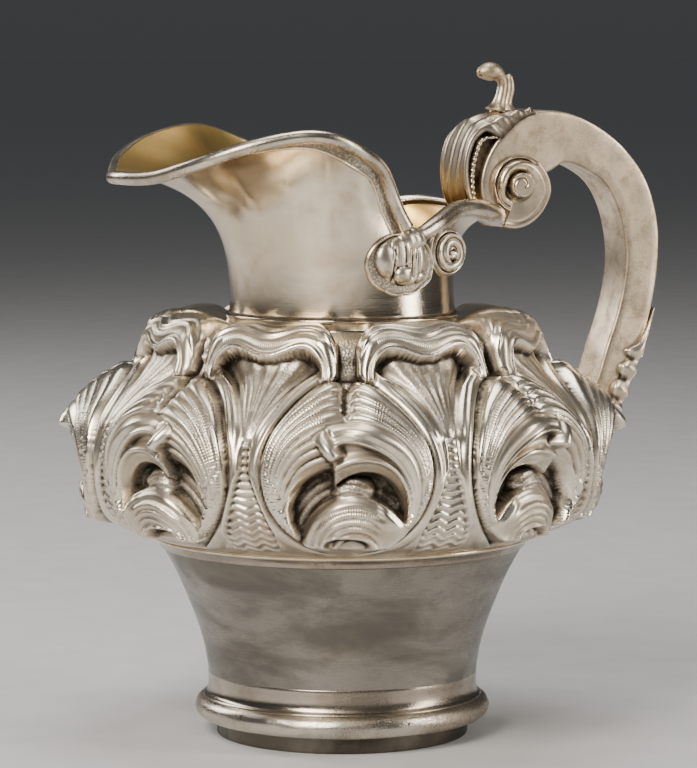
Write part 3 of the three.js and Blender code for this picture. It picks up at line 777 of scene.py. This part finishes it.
def neck_point(angle, t):
    """Radius and height of the neck's outside, t from 0 at the collar to 1 at the rim, and its slope."""
    radius, level = rim_at(angle)
    out, up = radius - NECK_RADIUS, level - NECK_BASE
    even = smooth(folded(angle), 76, 92) * (1 - smooth(folded(angle), 116, 150))
    corner = [(NECK_RADIUS + 0 * out, NECK_BASE + 0 * up),
              (NECK_RADIUS + 0.02 * out - 1.2, NECK_BASE + 0.45 * up),
              (NECK_RADIUS + (0.1 + 0.34 * even) * out - 0.8, NECK_BASE + (0.9 - 0.09 * even) * up),
              (radius, level)]
    weight = [(1 - t) ** 3, 3 * t * (1 - t) ** 2, 3 * t * t * (1 - t), t**3]
    slope = [-3 * (1 - t) ** 2, 3 * (1 - t) ** 2 - 6 * t * (1 - t), 6 * t * (1 - t) - 3 * t * t, 3 * t * t]
    place = [sum(w * c[k] for w, c in zip(weight, corner)) for k in (0, 1)]
    along = [sum(w * c[k] for w, c in zip(slope, corner)) for k in (0, 1)]
    size = np.hypot(*along)
    return place[0], place[1], along[0] / size, along[1] / size


def neck_radius(angle, z):
    """The neck's outside radius at a height, level with the rim where it's above it."""
    _, rim_z = rim_at(angle)
    t = np.clip((z - NECK_BASE) / (rim_z - NECK_BASE), 0, 1)
    for _ in range(8):
        _, level, _, _ = neck_point(angle, t)
        t = np.clip(t + (z - level) / (rim_z - NECK_BASE), 0, 1)
    return neck_point(angle, t)[0]


def build_neck():
    t = np.linspace(0, 0.985, NECK_ROWS)
    angles, shares = np.meshgrid(around(NECK_COLUMNS), t, indexing="ij")
    radius, level, out, up = neck_point(angles, shares)
    wobble = 0.12 * ripple_noise(angles * 4, level / 14, 31, 6, 0.5, 1.5)
    radius = radius + wobble * smooth(shares, 0, 0.1) * (1 - smooth(shares, 0.85, 0.95))
    outer = polar_points(radius, angles, level)
    inner = polar_points(radius - SHEET * up, angles, level + SHEET * out)
    outer[:, 0, 2] = inner[:, 0, 2] = NECK_BASE - 1.6
    grid = np.concatenate([outer, inner[:, ::-1]], axis=1)
    piece = lined_ring("neck_wall", grid, POLISHED, NECK_ROWS - 1)
    finish_piece(piece, "gilt_lined_silver", "neck_and_spout")

    low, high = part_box("neck_collar")
    bottom, top = low.z / MM - 1.2, high.z / MM - 0.5
    collar = rounded_profile([(41.6, bottom), (44.7, bottom), (44.5, bottom + 1.0), (44.2, bottom + 1.5),
                              (44.2, top - 1.4), (44.8, top - 1.0), (44.7, top - 0.2), (43.2, top),
                              (41.6, top)], 0.3)
    turned_piece("collar", collar, FACETS, POLISHED, "polished_silver", "neck_collar")
    turned_piece("collar_seam", oval(43.15, top + 0.25, 0.4, 0.35, 14), FACETS, SEAM, "polished_silver")


def rim_frames(angle):
    """Along the rim: its points, the wall's outward normal and the way up the wall to the rim."""
    def place(a):
        radius, level = rim_at(a)
        return polar_points(radius, a, level)
    tangent = unit(place(angle + 0.004) - place(angle - 0.004))
    _, _, out, up = neck_point(angle, np.full_like(angle, 0.97))
    normal = unit(np.cross(tangent, polar_points(out, angle, up)))
    normal *= np.sign(np.sum(normal * polar_points(1, angle, 0), -1, keepdims=True) - 1e-9)
    wall = np.cross(normal, tangent)
    wall *= np.sign(wall[..., 2:3] + 1e-9)
    return place(angle), normal, wall


def swept(points, normal, wall, section, scale):
    """Sweeps a closed section, given as (along the wall, along the normal), scaled along the way."""
    w, n = [section[:, k][None, :, None] * scale[:, None, None] for k in (0, 1)]
    return points[:, None, :] + w * wall[:, None, :] + n * normal[:, None, :]


def laid_on_neck(points, normal, wall, section, spread):
    """Sweeps a closed section along the rim, bent to follow the neck's outside."""
    w = section[:, 0][None, :, None] * spread[:, None, None]
    at = points[:, None, :] + w * wall[:, None, :]
    angle = np.arctan2(at[..., 1], at[..., 0])
    radius = neck_radius(angle, at[..., 2])
    return polar_points(radius, angle, at[..., 2]) + section[:, 1][None, :, None] * normal[:, None, :]


def arm_section():
    """A rounded bar with a flute along its underside."""
    turn = around(36)
    radius = 3.25 - 1.0 * bump(turn, 3.9, 0.35) + 0.25 * bump(turn, 3.3, 0.2) + 0.25 * bump(turn, 4.5, 0.2)
    return np.stack([0.35 + radius * np.cos(turn), 0.6 + radius * np.sin(turn)], 1)


def build_rim():
    angle = np.radians(np.linspace(79, 281, 300))
    points, normal, wall = rim_frames(angle)
    descent = 1 - smooth(np.minimum(angle - angle[0], angle[-1] - angle), 0.15, 0.75)
    wire = swept(points, normal, wall, oval(-1.0, 1.4, 2.55, 2.55, 22), 1.0 + 0.12 * descent)
    bar_piece("rim_wire", wire, WIRE, "polished_silver", "spout_rim_moulding")

    from_handle = np.degrees(np.minimum(angle, FULL_TURN - angle))
    spread = 1.0 + 0.25 * descent + 0.6 * smooth(from_handle, 98, 118) * (1 - smooth(from_handle, 140, 172))
    band = rounded_profile([(-0.8, 0.9), (-0.8, -0.3), (-3.0, -0.3), (-5.5, -0.3), (-5.5, 0.5),
                            (-3.0, 0.6)], 0.25)
    bar_piece("rim_band", laid_on_neck(points, normal, wall, band, spread), STIPPLED, "chased_silver")
    edge = oval(-5.7, 0.35, 0.45, 0.45, 12)
    bar_piece("rim_edge", laid_on_neck(points, normal, wall, edge, spread), POLISHED, "polished_silver")

    share = np.linspace(0, 1, 120)
    size = 0.8 + 0.3 * smooth(share, 0, 0.3) + 0.1 * smooth(share, 0.6, 0.9)
    size = size - 0.1 * smooth(share, 0.97, 1.0)
    for side, sign in SIDES:
        points, normal, wall = rim_frames(np.radians(sign * np.linspace(73, 9.5, len(share))))
        arm = swept(points, normal, wall, arm_section(), size)
        bar_piece(f"rim_arm_{side}", arm, WIRE, "polished_silver", f"rear_rim_{side}")


# Handle -----------------------------------------------------------------------

HANDLE_WIDTH = 19.3
EYE = (69.9, 208.6)
OUTER_EDGE = [(80, 101.5), (96, 103.5), (107.2, 111.5), (115.3, 124), (123.1, 141), (129.4, 160),
              (132.5, 180), (131.4, 197), (125.1, 213.3), (113.3, 226.2), (99.5, 234.4), (86.5, 237.8),
              (73.5, 236.4), (61.8, 227.2), (55.8, 217), (54.3, 208), (56.3, 200.6), (61.4, 194.8),
              (69.5, 192.6), (77.5, 195.2), (82.8, 200.6), (84.3, 206)]
INNER_EDGE = [(80, 116.5), (96, 119.8), (103.1, 128.6), (109.8, 146), (116.1, 165.6), (118, 181),
              (115.3, 197), (109, 208.7), (99.7, 215.2), (91, 217.7), (84.8, 214.6)]


def build_handle():
    outer = path_through(OUTER_EDGE, 420)
    inner_bar = path_through(INNER_EDGE, 420)
    head = np.argmin(np.hypot(outer[:, 0] - 80, outer[:, 1] - 237.6))
    share = np.linspace(0, 1, head + 1)
    towards = smooth(np.linspace(0, 1, len(outer) - head - 1), 0.0, 0.35)
    inner = np.empty_like(outer)
    for k in (0, 1):
        inner[: head + 1, k] = np.interp(share, np.linspace(0, 1, len(inner_bar)), inner_bar[:, k])
        inner[head + 1:, k] = blend(INNER_EDGE[-1][k], EYE[k], towards)
    half = HANDLE_WIDTH / 2
    shares = (0.0, 0.02, 0.05, 0.1, 0.25, 0.4, 0.5, 0.6, 0.75, 0.9, 0.95, 0.98)
    corners = [(0, -1), (1, -1), (1, 1), (0, 1)]
    section = np.array([(blend(a0, a1, t), blend(y0, y1, t))
                        for (a0, y0), (a1, y1) in zip(corners, corners[1:] + corners[:1]) for t in shares])
    width = np.linalg.norm(inner - outer, axis=1)[:, None]
    centre = (inner + outer)[:, None, :] / 2
    direction = (inner - outer) / np.maximum(width, 1e-6)
    across = (section[:, 0] - 0.5)[None, :] * width
    y = np.broadcast_to(section[:, 1][None, :] * half, across.shape)
    soft = 1.2
    in_plane = np.clip(soft - (width / 2 - np.abs(across)), 0, soft)
    inset = in_plane * np.clip(soft - (half - np.abs(y)), 0, soft) / soft * 0.33
    across = across - np.sign(across) * inset
    y = y - np.sign(y) * inset
    plane = centre + across[..., None] * direction[:, None, :]
    wear = 0.1 * ripple_noise(plane[..., 0] / 5 + y, plane[..., 1] / 5, 41, 8, 0.4, 2.0)
    grid = np.stack([plane[..., 0], y * (1 + wear / half), plane[..., 1]], -1)
    bar_piece("handle_bar", grid, HANDLE, "handle_silver", "handle_cheek_left", "handle_cheek_right",
              "handle_outer_strip", "handle_inner_strip")


BACK_DEPTH = 0.7


def relief_marks(height, a, b, reach=0.7):
    """How hollow and how proud a height field is at each point, from the heights round it."""
    steps = ((reach, 0), (-reach, 0), (0, reach), (0, -reach))
    near = height(a, b) - sum(height(a + da, b + db) for da, db in steps) / 4
    return smooth(-near, 0.04, 0.42), smooth(near, 0.04, 0.4)


def raised_patch(name, outline, height, place, material, matted=None, spokes=300, rings=84):
    """A boss whose face follows the height field inside an outline, given as its reach at each heading."""
    heading = around(spokes)[:, None]
    share = np.linspace(0.003, 1, rings)[None, :]
    a = outline(heading) * share * np.cos(heading)
    b = outline(heading) * share * np.sin(heading)
    face = place(a, b, height(a, b))
    back = place(a[:, ::-14], b[:, ::-14], np.full_like(a[:, ::-14], -BACK_DEPTH))
    hollow, crest = relief_marks(height, a, b)
    fields = {"hollow": hollow, "crest": crest, "matted": matted(a, b) if matted else 0 * a}
    return closed_ring(name, np.concatenate([face, back], axis=1), material,
                       attributes=padded(fields, back.shape[1]))


def egg(a, b, centre, size):
    """A dome of height 1 over an ellipse."""
    return np.sqrt(np.clip(1 - ((a - centre[0]) / size[0]) ** 2 - ((b - centre[1]) / size[1]) ** 2, 0, 1))


COIL_END = math.radians(111)
BUTTON = 4.9
coil_reach = curve_through([(0, 17.3), (0.06, 16.8), (0.16, 15.2), (0.21, 14.4), (0.28, 13.8), (0.36, 12.3),
                            (0.42, 11.7), (0.6, 11.5), (1, 11.3)])


def volute_turn(heading):
    """How far round the coil a heading is: 0 at its cut outer end, 1 a full turn on."""
    return np.mod(heading + COIL_END, FULL_TURN) / FULL_TURN


def volute_reach(heading):
    return coil_reach(volute_turn(heading))


def volute_height(a, b):
    r = np.hypot(a, b)
    heading = np.arctan2(b, a)
    turn = volute_turn(heading)
    edge = coil_reach(turn) - r
    coil = 0.7 + 3.3 * smooth(turn, 0.0, 0.5) - 0.6 * (1 - np.clip(edge / 0.9, 0, 1)) ** 2
    coil = coil - 0.5 * bump(r, BUTTON + 0.7, 0.6) - 0.35 * bump(edge, 2.4, 0.5)
    across = np.clip((9.8 - r) / (9.8 - BUTTON), 0, 1)
    bowl = 0.7 + 1.2 * bump(edge, 0.8, 0.55) + 2.7 * np.sin(math.pi * across**0.8) ** 0.7
    bowl = bowl + 0.5 * smooth(9.9 - r, 0, 0.3) - 2.9 * smooth(turn, 0.78, 0.96) * smooth(10.2 - r, 0, 1.2)
    height = blend(bowl, coil, 1 - smooth(turn, 0.43, 0.53))
    height = blend(height, 5.3, smooth(BUTTON - r, -0.1, 0.35))
    groove = 0.9 + 4.0 * np.mod(heading / FULL_TURN + 0.2, 1)
    return height - 0.55 * bump(r, groove, 0.4) * (r < BUTTON)


def build_volutes():
    for side, sign in SIDES:
        def place(a, b, h, sign=sign):
            return np.stack([EYE[0] + a, sign * (HANDLE_WIDTH / 2 + h), EYE[1] + 0.8 + b], -1)
        piece = raised_patch(f"volute_{side}", volute_reach, volute_height, place, VOLUTE)
        finish_piece(piece, "handle_silver", f"volute_boss_{side}")


def outward_of(points):
    """The way out of the handle, in its plane, along a run of its edge that starts at the foot."""
    step = unit(np.gradient(points, axis=0))
    return np.stack([step[:, 1], -step[:, 0]], 1)


def off_run(points, outward, n, y):
    """Points n out from a run in the handle's plane and y across it."""
    plane = points[:, None, :] + n[..., None] * outward[:, None, :]
    return np.stack([plane[..., 0], y, plane[..., 1]], -1)


def leaf_sweep(name, points, half_width, top, under, core, **attributes):
    """A leaf along a run of the handle's outer edge: its face, then its lips' underside and its core."""
    q = np.linspace(-1, 1, 81)[None, :]
    t = np.linspace(0, 1, len(points))[:, None]
    width, lip, inset = half_width(t), under(t), core(t)
    face = top(q, t)
    lips = [(width - 0.35, lip), (inset + 0.4, lip - 0.25), (inset, 0.1 + 0 * t)]
    y = np.concatenate([q * width] + [w for w, _ in lips] + [-w for w, _ in lips[::-1]], axis=1)
    n = np.concatenate([face] + [h for _, h in lips] + [h for _, h in lips[::-1]], axis=1)
    near = (top(q + 0.06, t) + top(q - 0.06, t) + top(q, t + 0.02) + top(q, t - 0.02)) / 4
    hidden = 2 * len(lips)
    # The lips' undersides and core get a strong hollow mark: painted shade under the leaf.
    marks = padded({"hollow": smooth(near - face, 0.03, 0.4)}, hidden, constant_values=0.9)
    marks |= padded({"crest": smooth(face - near, 0.03, 0.35)}, hidden)
    marks |= padded({key: field(q, t) + 0 * face for key, field in attributes.items()}, hidden, mode="edge")
    return closed_bar(name, off_run(points, outward_of(points), n, y), LEAF, attributes=marks)


leaf_crest = curve_through([(0, 1.0), (0.09, 2.2), (0.2, 4.4), (0.28, 6.6), (0.36, 9.2), (0.42, 10.6),
                            (0.55, 10.4), (0.69, 9.2), (0.89, 8.3), (1, 7.6)])
leaf_lip = curve_through([(0, 0.8), (0.1, 1.6), (0.3, 4.6), (0.4, 6.8), (0.47, 8.8), (0.55, 9.7),
                          (0.68, 9.0), (0.82, 7.2), (0.95, 5.6), (1, 4.6)])


def top_leaf_face(q, t):
    t = np.clip(t, 0, 1)
    crest, lip = leaf_crest(t), leaf_lip(t)
    side = np.abs(q)
    ruffle = 0.7 * np.sin(t * FULL_TURN * 7.5) * side**3 * (1 - smooth(t, 0.34, 0.42))
    flutes = 0.85 * np.cos(3 * math.pi * q) * (1 - smooth(side, 0.78, 0.9)) * smooth(t, 0.05, 0.3)
    return blend(lip, crest, 1 - side**2.2) + flutes + 0.7 * bump(side, 0.93, 0.06) + ruffle


def top_leaf_width(t):
    ruffle = 0.5 * np.sin(t * FULL_TURN * 7.5 + 1) * (1 - smooth(t, 0.34, 0.42))
    return 10.9 + ruffle - 3.2 * (1 - smooth(t, 0, 0.06))


LOWER_LEAF_TOP = 160.0
LOWER_LEAF_RUN = [(130.3, 160), (127.0, 151), (123.1, 141), (119.3, 132.5), (115.3, 124), (112.0, 117.5),
                  (109.6, 111.5), (108.2, 104.8)]
lower_crest = curve_through([(0, 0.2), (6, 0.8), (14, 1.3), (30, 1.9), (42, 2.6), (50, 2.9), (55.2, 0.8)])
lower_wrap = curve_through([(0, 0.1), (8, 0.6), (14, 2.4), (19.1, 6.4), (20.6, 4.6), (22, 4.6), (24.5, 6.3),
                            (27, 5.6), (28.6, 4.2), (30.5, 5.6), (33, 6.1), (35.5, 5.0), (36.5, 3.8),
                            (38.7, 5.3), (40.8, 4.2), (44, 4.4), (50, 3.4), (55.2, 0.6)])
lower_lobes = curve_through([(0, 0), (12, 0.5), (18.3, 1), (20.6, -1), (24.5, 1), (28.6, -1), (33, 1),
                             (36.4, -1), (38.8, 1), (41.2, -0.9), (45, 0.8), (49, -0.5), (55.2, 0)])


def build_lower_leaf():
    """The ruffled leaf down the handle's outside, its lobes lapping over both cheeks."""
    points = path_through(LOWER_LEAF_RUN, 240)
    drop = LOWER_LEAF_TOP - points[:, 1:]
    half = HANDLE_WIDTH / 2 - 4.0 * smooth(drop, 46, 55.2)
    wrap = lower_wrap(drop)
    present = smooth(drop, 0, 14)
    lobes = lower_lobes(drop)

    q = np.linspace(-1, 1, 61)[None, :]
    crest = lower_crest(drop)
    veins = 0.35 * np.cos(3 * math.pi * q) + 0.25 * lobes * np.abs(q) ** 2
    face = crest * (1 - 0.3 * q * q) + present * veins
    v = np.linspace(0, 1, 22)[None, :]
    rounded = np.sqrt(np.clip(1 - v**6, 0, 1))
    swell = 0.35 + present * (1.5 + 0.9 * lobes) * np.sin(math.pi * (0.25 + 0.6 * v))
    swell = swell + 0.9 * present * bump(v, 0.88, 0.1)
    side_y = half + 0.1 + swell * rounded
    side_n = face[:, -1:] * (1 - v) - wrap * v
    y = np.concatenate([-side_y[:, ::-1], q * side_y[:, :1], side_y], axis=1)
    n = np.concatenate([side_n[:, ::-1], face, side_n], axis=1)
    grid = off_run(points, -outward_of(points), n, y)
    sunk = smooth(-lobes, 0.1, 1.0) * present
    side_mark = sunk * smooth(v, 0.15, 0.5)
    hollow = np.concatenate([side_mark[:, ::-1], 0.25 * sunk + 0 * q, side_mark], axis=1)
    proud = bump(v, 0.85, 0.12) * present
    crest_mark = np.concatenate([proud[:, ::-1], 0 * drop + 0 * q, proud], axis=1)
    leaf = closed_bar("lower_leaf", grid, CHASED, attributes={"hollow": hollow, "crest": crest_mark})
    finish_piece(leaf, "chased_silver", "handle_lower_leaf")


def outer_run(keep, rows):
    dense = path_through(OUTER_EDGE, 1600)
    return path_through(dense[keep(dense[:, 0], dense[:, 1])][::20], rows)


def build_leaves():
    high_run = outer_run(lambda x, z: (x < 77.5) & (np.arange(len(x)) < np.argmax((x < 60) & (z < 200.8))),
                         170)
    leaf = leaf_sweep("top_leaf", high_run, top_leaf_width, top_leaf_face,
                      lambda t: -0.9 + (leaf_lip(t) - 0.8) * smooth(t, 0.39, 0.45),
                      lambda t: 9.4 - 2.2 * smooth(t, 0.39, 0.45),
                      gilded=lambda q, t: 0.8 * smooth(t, 0.82, 1.0))
    finish_piece(leaf, "chased_silver", "handle_top_leaf")

    share = np.linspace(0.425, 1, 230)
    ribbon_level = curve_through([(0.42, 1.2), (0.5, 5.2), (0.62, 5.2), (0.82, 4.0), (1, 3.2)])(share)
    row = np.arange(len(high_run))
    base, out = [np.stack([np.interp(share * row[-1], row, column) for column in run.T], 1)
                 for run in (high_run, outward_of(high_run))]
    beads = 0.85 + 0.35 * np.abs(np.sin(share * 78))
    turn = around(16)
    n = ribbon_level[:, None] + beads[:, None] * np.cos(turn)
    for side, sign in SIDES:
        y = sign * (8.7 + 1.6 * beads[:, None] * np.sin(turn))
        bar_piece(f"leaf_ribbon_{side}", off_run(base, out, n, y), WIRE, "chased_silver")


def planar_bar(name, path, radii, wide, material):
    """A rounded bar along a path in the handle's own plane, wide times as broad as it is deep."""
    points = path_through(path, 110)
    share = np.linspace(0, 1, len(points))
    radius = curve_through(radii)(share)[:, None]
    step = np.gradient(points, axis=0)
    pace = np.linalg.norm(step, axis=1, keepdims=True)
    step /= pace
    from_tip = np.cumsum(pace)[:, None] - pace[0, 0] * 0.98
    radius = radius * np.sqrt(1 - (1 - np.clip(from_tip / radius, 0, 1)) ** 2)
    turn = around(32)[None, :]
    grid = np.stack([points[:, :1] - step[:, 1:] * radius * np.cos(turn), wide * radius * np.sin(turn),
                     points[:, 1:] + step[:, :1] * radius * np.cos(turn)], -1)
    return closed_bar(name, grid, material)


def build_finial():
    bud = planar_bar("finial_bud", [(57.2, 251.6), (59.5, 252.5), (62.5, 252.9), (65.3, 252.2),
                                    (67.4, 250.2), (68.0, 247.6), (67.6, 245.0), (66.9, 242.0),
                                    (65.6, 237.6)],
                     [(0, 1.9), (0.08, 2.6), (0.18, 3.45), (0.28, 3.5), (0.38, 2.8), (0.48, 2.1),
                      (0.66, 2.0), (0.84, 2.5), (0.93, 3.4), (1, 4.8)], 1.1, HANDLE)
    finish_piece(bud, "polished_silver", "thumb_finial")
    strand = planar_bar("finial_strand", [(70.3, 251.9), (70.8, 250.4), (71.2, 247.5), (70.9, 244.5),
                                          (70.1, 241.5), (69.6, 237.8)],
                        [(0, 1.2), (0.15, 1.6), (0.4, 1.9), (0.7, 1.9), (0.85, 2.4),
                         (1, 4.2)], 1.15, HANDLE)
    finish_piece(strand, "polished_silver")


# Neck ornaments -----------------------------------------------------------------

SHELL_ANGLE = math.radians(82.6)
SHELL_LEVEL = 182.4
SHELL_SIZE = (16.3, 12.3)
SADDLE_TURN = 0.105
SADDLE_RISE = 8.8
SCROLL_ANGLE = math.radians(48.5)
SCROLL_LEAN = math.radians(22)
SCROLL_LEVEL = 185.6
SCROLL_RADIUS = 8.7
COIL_PITCH = 3.3
NECK_SCALE = 44.0


def on_neck(sign, angle, level, lift):
    """Places a patch on the neck: a runs round towards the handle, b up."""
    def place(a, b, h):
        polar = sign * (angle - a / NECK_SCALE)
        return polar_points(neck_radius(polar, level + b) + lift + h, polar, level + b)
    return place


def off_neck(sign, angle, level, lift, lean):
    """Places a flat patch that stands off the neck, turned from the handle, its back in the neck."""
    facing = sign * (angle + lean)
    across = facing - sign * math.pi / 2
    foot = neck_radius(np.full(1, angle), np.full(1, level))[0] + lift

    def place(a, b, h):
        out = np.maximum(h, 0)
        x = foot * math.cos(angle) + a * math.cos(across) + out * math.cos(facing)
        y = sign * foot * math.sin(angle) + a * math.sin(across) + out * math.sin(facing)
        polar = np.arctan2(y, x)
        radius = np.where(h < 0, neck_radius(polar, level + b) + h, np.hypot(x, y))
        return polar_points(radius, polar, level + b)
    return place


def saddle_reach(heading):
    return 1 / np.hypot(np.cos(heading - 0.1) / 7.4, np.sin(heading - 0.1) / 4.5)


def saddle_height(a, b):
    share = np.hypot(a, b) / saddle_reach(np.arctan2(b, a))
    ridges = 0.35 * np.abs(np.sin(0.75 * a + 0.2 * b + 0.4)) * (1 - share ** 2)
    return 0.3 + 3.3 * np.sqrt(np.clip(1 - share ** 2, 0, 1)) + ridges


def shell_reach(heading):
    reach = 1 / np.hypot(np.cos(heading) / SHELL_SIZE[0], np.sin(heading) / SHELL_SIZE[1])
    scallop = np.abs(np.sin(heading * 4.5 + 0.6)) ** 0.7
    edge = 0.955 + 0.05 * scallop * smooth(0.4 - np.sin(heading), 0, 0.8)
    return reach * (edge + 0.01 * np.cos(3 * heading))


def shell_edge(a, b):
    return shell_reach(np.arctan2(b, a)) - np.hypot(a, b)


def shell_height(a, b):
    edge = shell_edge(a, b)
    border = 0.7 + 0.8 * bump(edge, 0.7, 0.5) + 0.25 * bump(edge, 4.6, 1.2)
    border = border - 0.5 * (1 - np.clip(edge / 0.35, 0, 1)) ** 2
    dome = 3.0 * egg(a, b, (0.6, 1.2), (12.6, 9.6)) ** 0.8
    lobes = 1.5 * egg(a + 0.12 * b, b, (-7.6, 1.6), (4.3, 6.6)) + 1.2 * egg(a, b, (-1.9, 4.4), (4.2, 5.8))
    lobes = lobes + 2.3 * egg(a, b, (-0.9, -4.3), (3.7, 3.5)) + 1.1 * egg(a, b, (7.4, 2.4), (3.2, 5.8))
    lobes = lobes + 1.3 * egg(a, b, (8.6, -5.6), (4.0, 2.3))
    rib = 1.2 * bump(a, 1.7, 0.9) * smooth(b, -3.5, -0.5) * (1 - smooth(b, 8, 11))
    cuts = bump(a, 3.6, 0.6) * smooth(b, -6, -3) + 0.5 * bump(a, 0.2, 0.45) * smooth(b, -1, 1)
    cuts = cuts + 0.6 * bump(a, -4.6 + 0.1 * b, 0.5) * (1 - smooth(b, 4, 8))
    cuts = cuts + 0.5 * bump(a, 5.8, 0.4) * smooth(b, -3, 0)
    inner = dome + lobes + rib - 1.6 * cuts * (dome > 0.1)
    return np.maximum(border, inner)


def shell_matting(a, b):
    return smooth(shell_edge(a, b), 1.1, 1.7) * (egg(a, b, (0.6, 1.2), (12.6, 9.6)) < 0.25)


def scroll_height(a, b):
    r = np.hypot(a, b)
    phase = np.mod(r / COIL_PITCH + np.arctan2(b, a) / FULL_TURN + 0.1, 1)
    coil = 3.1 + 1.3 * np.abs(np.sin(math.pi * phase)) ** 0.6
    flange = 1.9 + 0.6 * bump(r, SCROLL_RADIUS - 0.7, 0.45)
    height = blend(flange, coil, smooth(SCROLL_RADIUS - 1.3 - r, 0, 0.5))
    height = height + 1.5 * egg(a, b, (0.7, -1.1), (1.4, 1.4))
    return height - 1.4 * bump(np.hypot(a - 0.7, b + 1.1), 2.0, 0.45)


def build_neck_ornaments():
    for side, sign in SIDES:
        shell = raised_patch(f"shell_{side}", shell_reach, shell_height,
                             on_neck(sign, SHELL_ANGLE, SHELL_LEVEL, 0.1), CHASED, shell_matting, 420, 110)
        finish_piece(shell, "chased_silver", f"shell_ornament_{side}")
        scroll = raised_patch(f"scroll_{side}", lambda heading: SCROLL_RADIUS + 0 * heading, scroll_height,
                              off_neck(sign, SCROLL_ANGLE, SCROLL_LEVEL, 0.6, SCROLL_LEAN), CHASED)
        finish_piece(scroll, "chased_silver", f"side_scroll_{side}")
        dip = on_neck(sign, SHELL_ANGLE - SADDLE_TURN, SHELL_LEVEL + SADDLE_RISE, 0.4)
        saddle = raised_patch(f"saddle_{side}", saddle_reach, saddle_height, dip, CHASED, spokes=180,
                              rings=50)
        finish_piece(saddle, "chased_silver", f"shell_ornament_{side}")


# Stage ------------------------------------------------------------------------

FOCAL_PIXELS = 3542.6
IMAGE_HEIGHT = 768
SENSOR = 36.0
CAMERA_DISTANCE = 1349.0
CAMERA_HEIGHT = 265.0
CAMERA_AZIMUTH = -24.0
CAMERA_PITCH = 0.0968
CAMERA_YAW = 0.0018
SKY = (0.30, 0.31, 0.32)
HORIZON = (0.205, 0.211, 0.218)
FLOOR_HALF = 40.0
AIM_HEIGHT = 0.13


def build_stage():
    floor_mesh = bpy.data.meshes.new("floor")
    corners = [(x * FLOOR_HALF, y * FLOOR_HALF, 0) for x, y in ((-1, -1), (1, -1), (1, 1), (-1, 1))]
    floor_mesh.from_pydata(corners, [], [(0, 1, 2, 3)])
    floor = add_object("floor", floor_mesh)
    n = Nodes("pale_floor")
    speckle = n.ranged(n.noise(40.0, 3.0, 0.5), 0.3, 0.7)
    n.put(n.shader.inputs["Base Color"], n.mix(speckle, (0.60, 0.60, 0.61), (0.64, 0.64, 0.65)))
    n.shader.inputs["Roughness"].default_value = 0.55
    floor_mesh.materials.append(n.material)

    world = bpy.data.worlds.new("studio")
    bpy.context.scene.world = world
    world.use_nodes = True
    tree = world.node_tree
    backdrop = tree.nodes["Background"]
    backdrop.inputs["Strength"].default_value = 0.24
    direction = tree.nodes.new("ShaderNodeSeparateXYZ")
    tree.links.new(tree.nodes.new("ShaderNodeTexCoord").outputs["Generated"], direction.inputs[0])
    rise = tree.nodes.new("ShaderNodeValToRGB")
    tree.links.new(direction.outputs["Z"], rise.inputs[0])
    rise.color_ramp.elements[0].color = (*HORIZON, 1)
    rise.color_ramp.elements[1].position = 0.4
    rise.color_ramp.elements[1].color = (*SKY, 1)
    tree.links.new(rise.outputs[0], backdrop.inputs["Color"])

    centre = np.array([AXIS_X * MM, 0.0, AIM_HEIGHT])
    lamps = [("key", (-1.05, -0.85, 0.95), 0.6, 0.9, 34.0, (1.0, 0.94, 0.85)),
             ("fill", (1.25, -1.0, 0.5), 0.4, 1.2, 17.0, (1.0, 0.94, 0.86)),
             ("top", (0.1, 0.1, 1.4), 0.7, 0.7, 10.0, (1.0, 0.97, 0.93)),
             ("back", (-0.8, 1.2, 0.8), 0.5, 0.8, 12.0, (1.0, 0.97, 0.93))]
    for name, offset, width, height, power, colour in lamps:
        light = bpy.data.lights.new(name, "AREA")
        light.shape = "RECTANGLE"
        light.size, light.size_y = width, height
        light.energy = power
        light.color = colour
        lamp = add_object(name, light)
        lamp.location = centre + offset
        away = Vector(centre - np.array(lamp.location))
        lamp.rotation_euler = away.to_track_quat("-Z", "Y").to_euler()


def build_camera():
    azimuth = math.radians(CAMERA_AZIMUTH)
    back = np.array([math.sin(azimuth), -math.cos(azimuth), 0])
    right = np.array([math.cos(azimuth), math.sin(azimuth), 0])
    axis = np.array([AXIS_X * MM, 0, 0])
    place = axis + back * CAMERA_DISTANCE * MM + np.array([0, 0, CAMERA_HEIGHT * MM])
    aim = place - back * math.cos(CAMERA_PITCH) + right * CAMERA_YAW
    aim = aim - np.array([0, 0, math.sin(CAMERA_PITCH)])
    data = bpy.data.cameras.new("camera")
    data.sensor_width = SENSOR
    data.lens = FOCAL_PIXELS / IMAGE_HEIGHT * SENSOR
    camera = add_object("camera", data)
    camera.location = place
    camera.rotation_euler = Vector(aim - place).to_track_quat("-Z", "Y").to_euler()
    bpy.context.scene.camera = camera


build_camera()
build_stage()
build_foot()
build_lower_body()
build_band()
build_neck()
build_rim()
build_handle()
build_volutes()
build_leaves()
build_lower_leaf()
build_finial()
build_neck_ornaments()
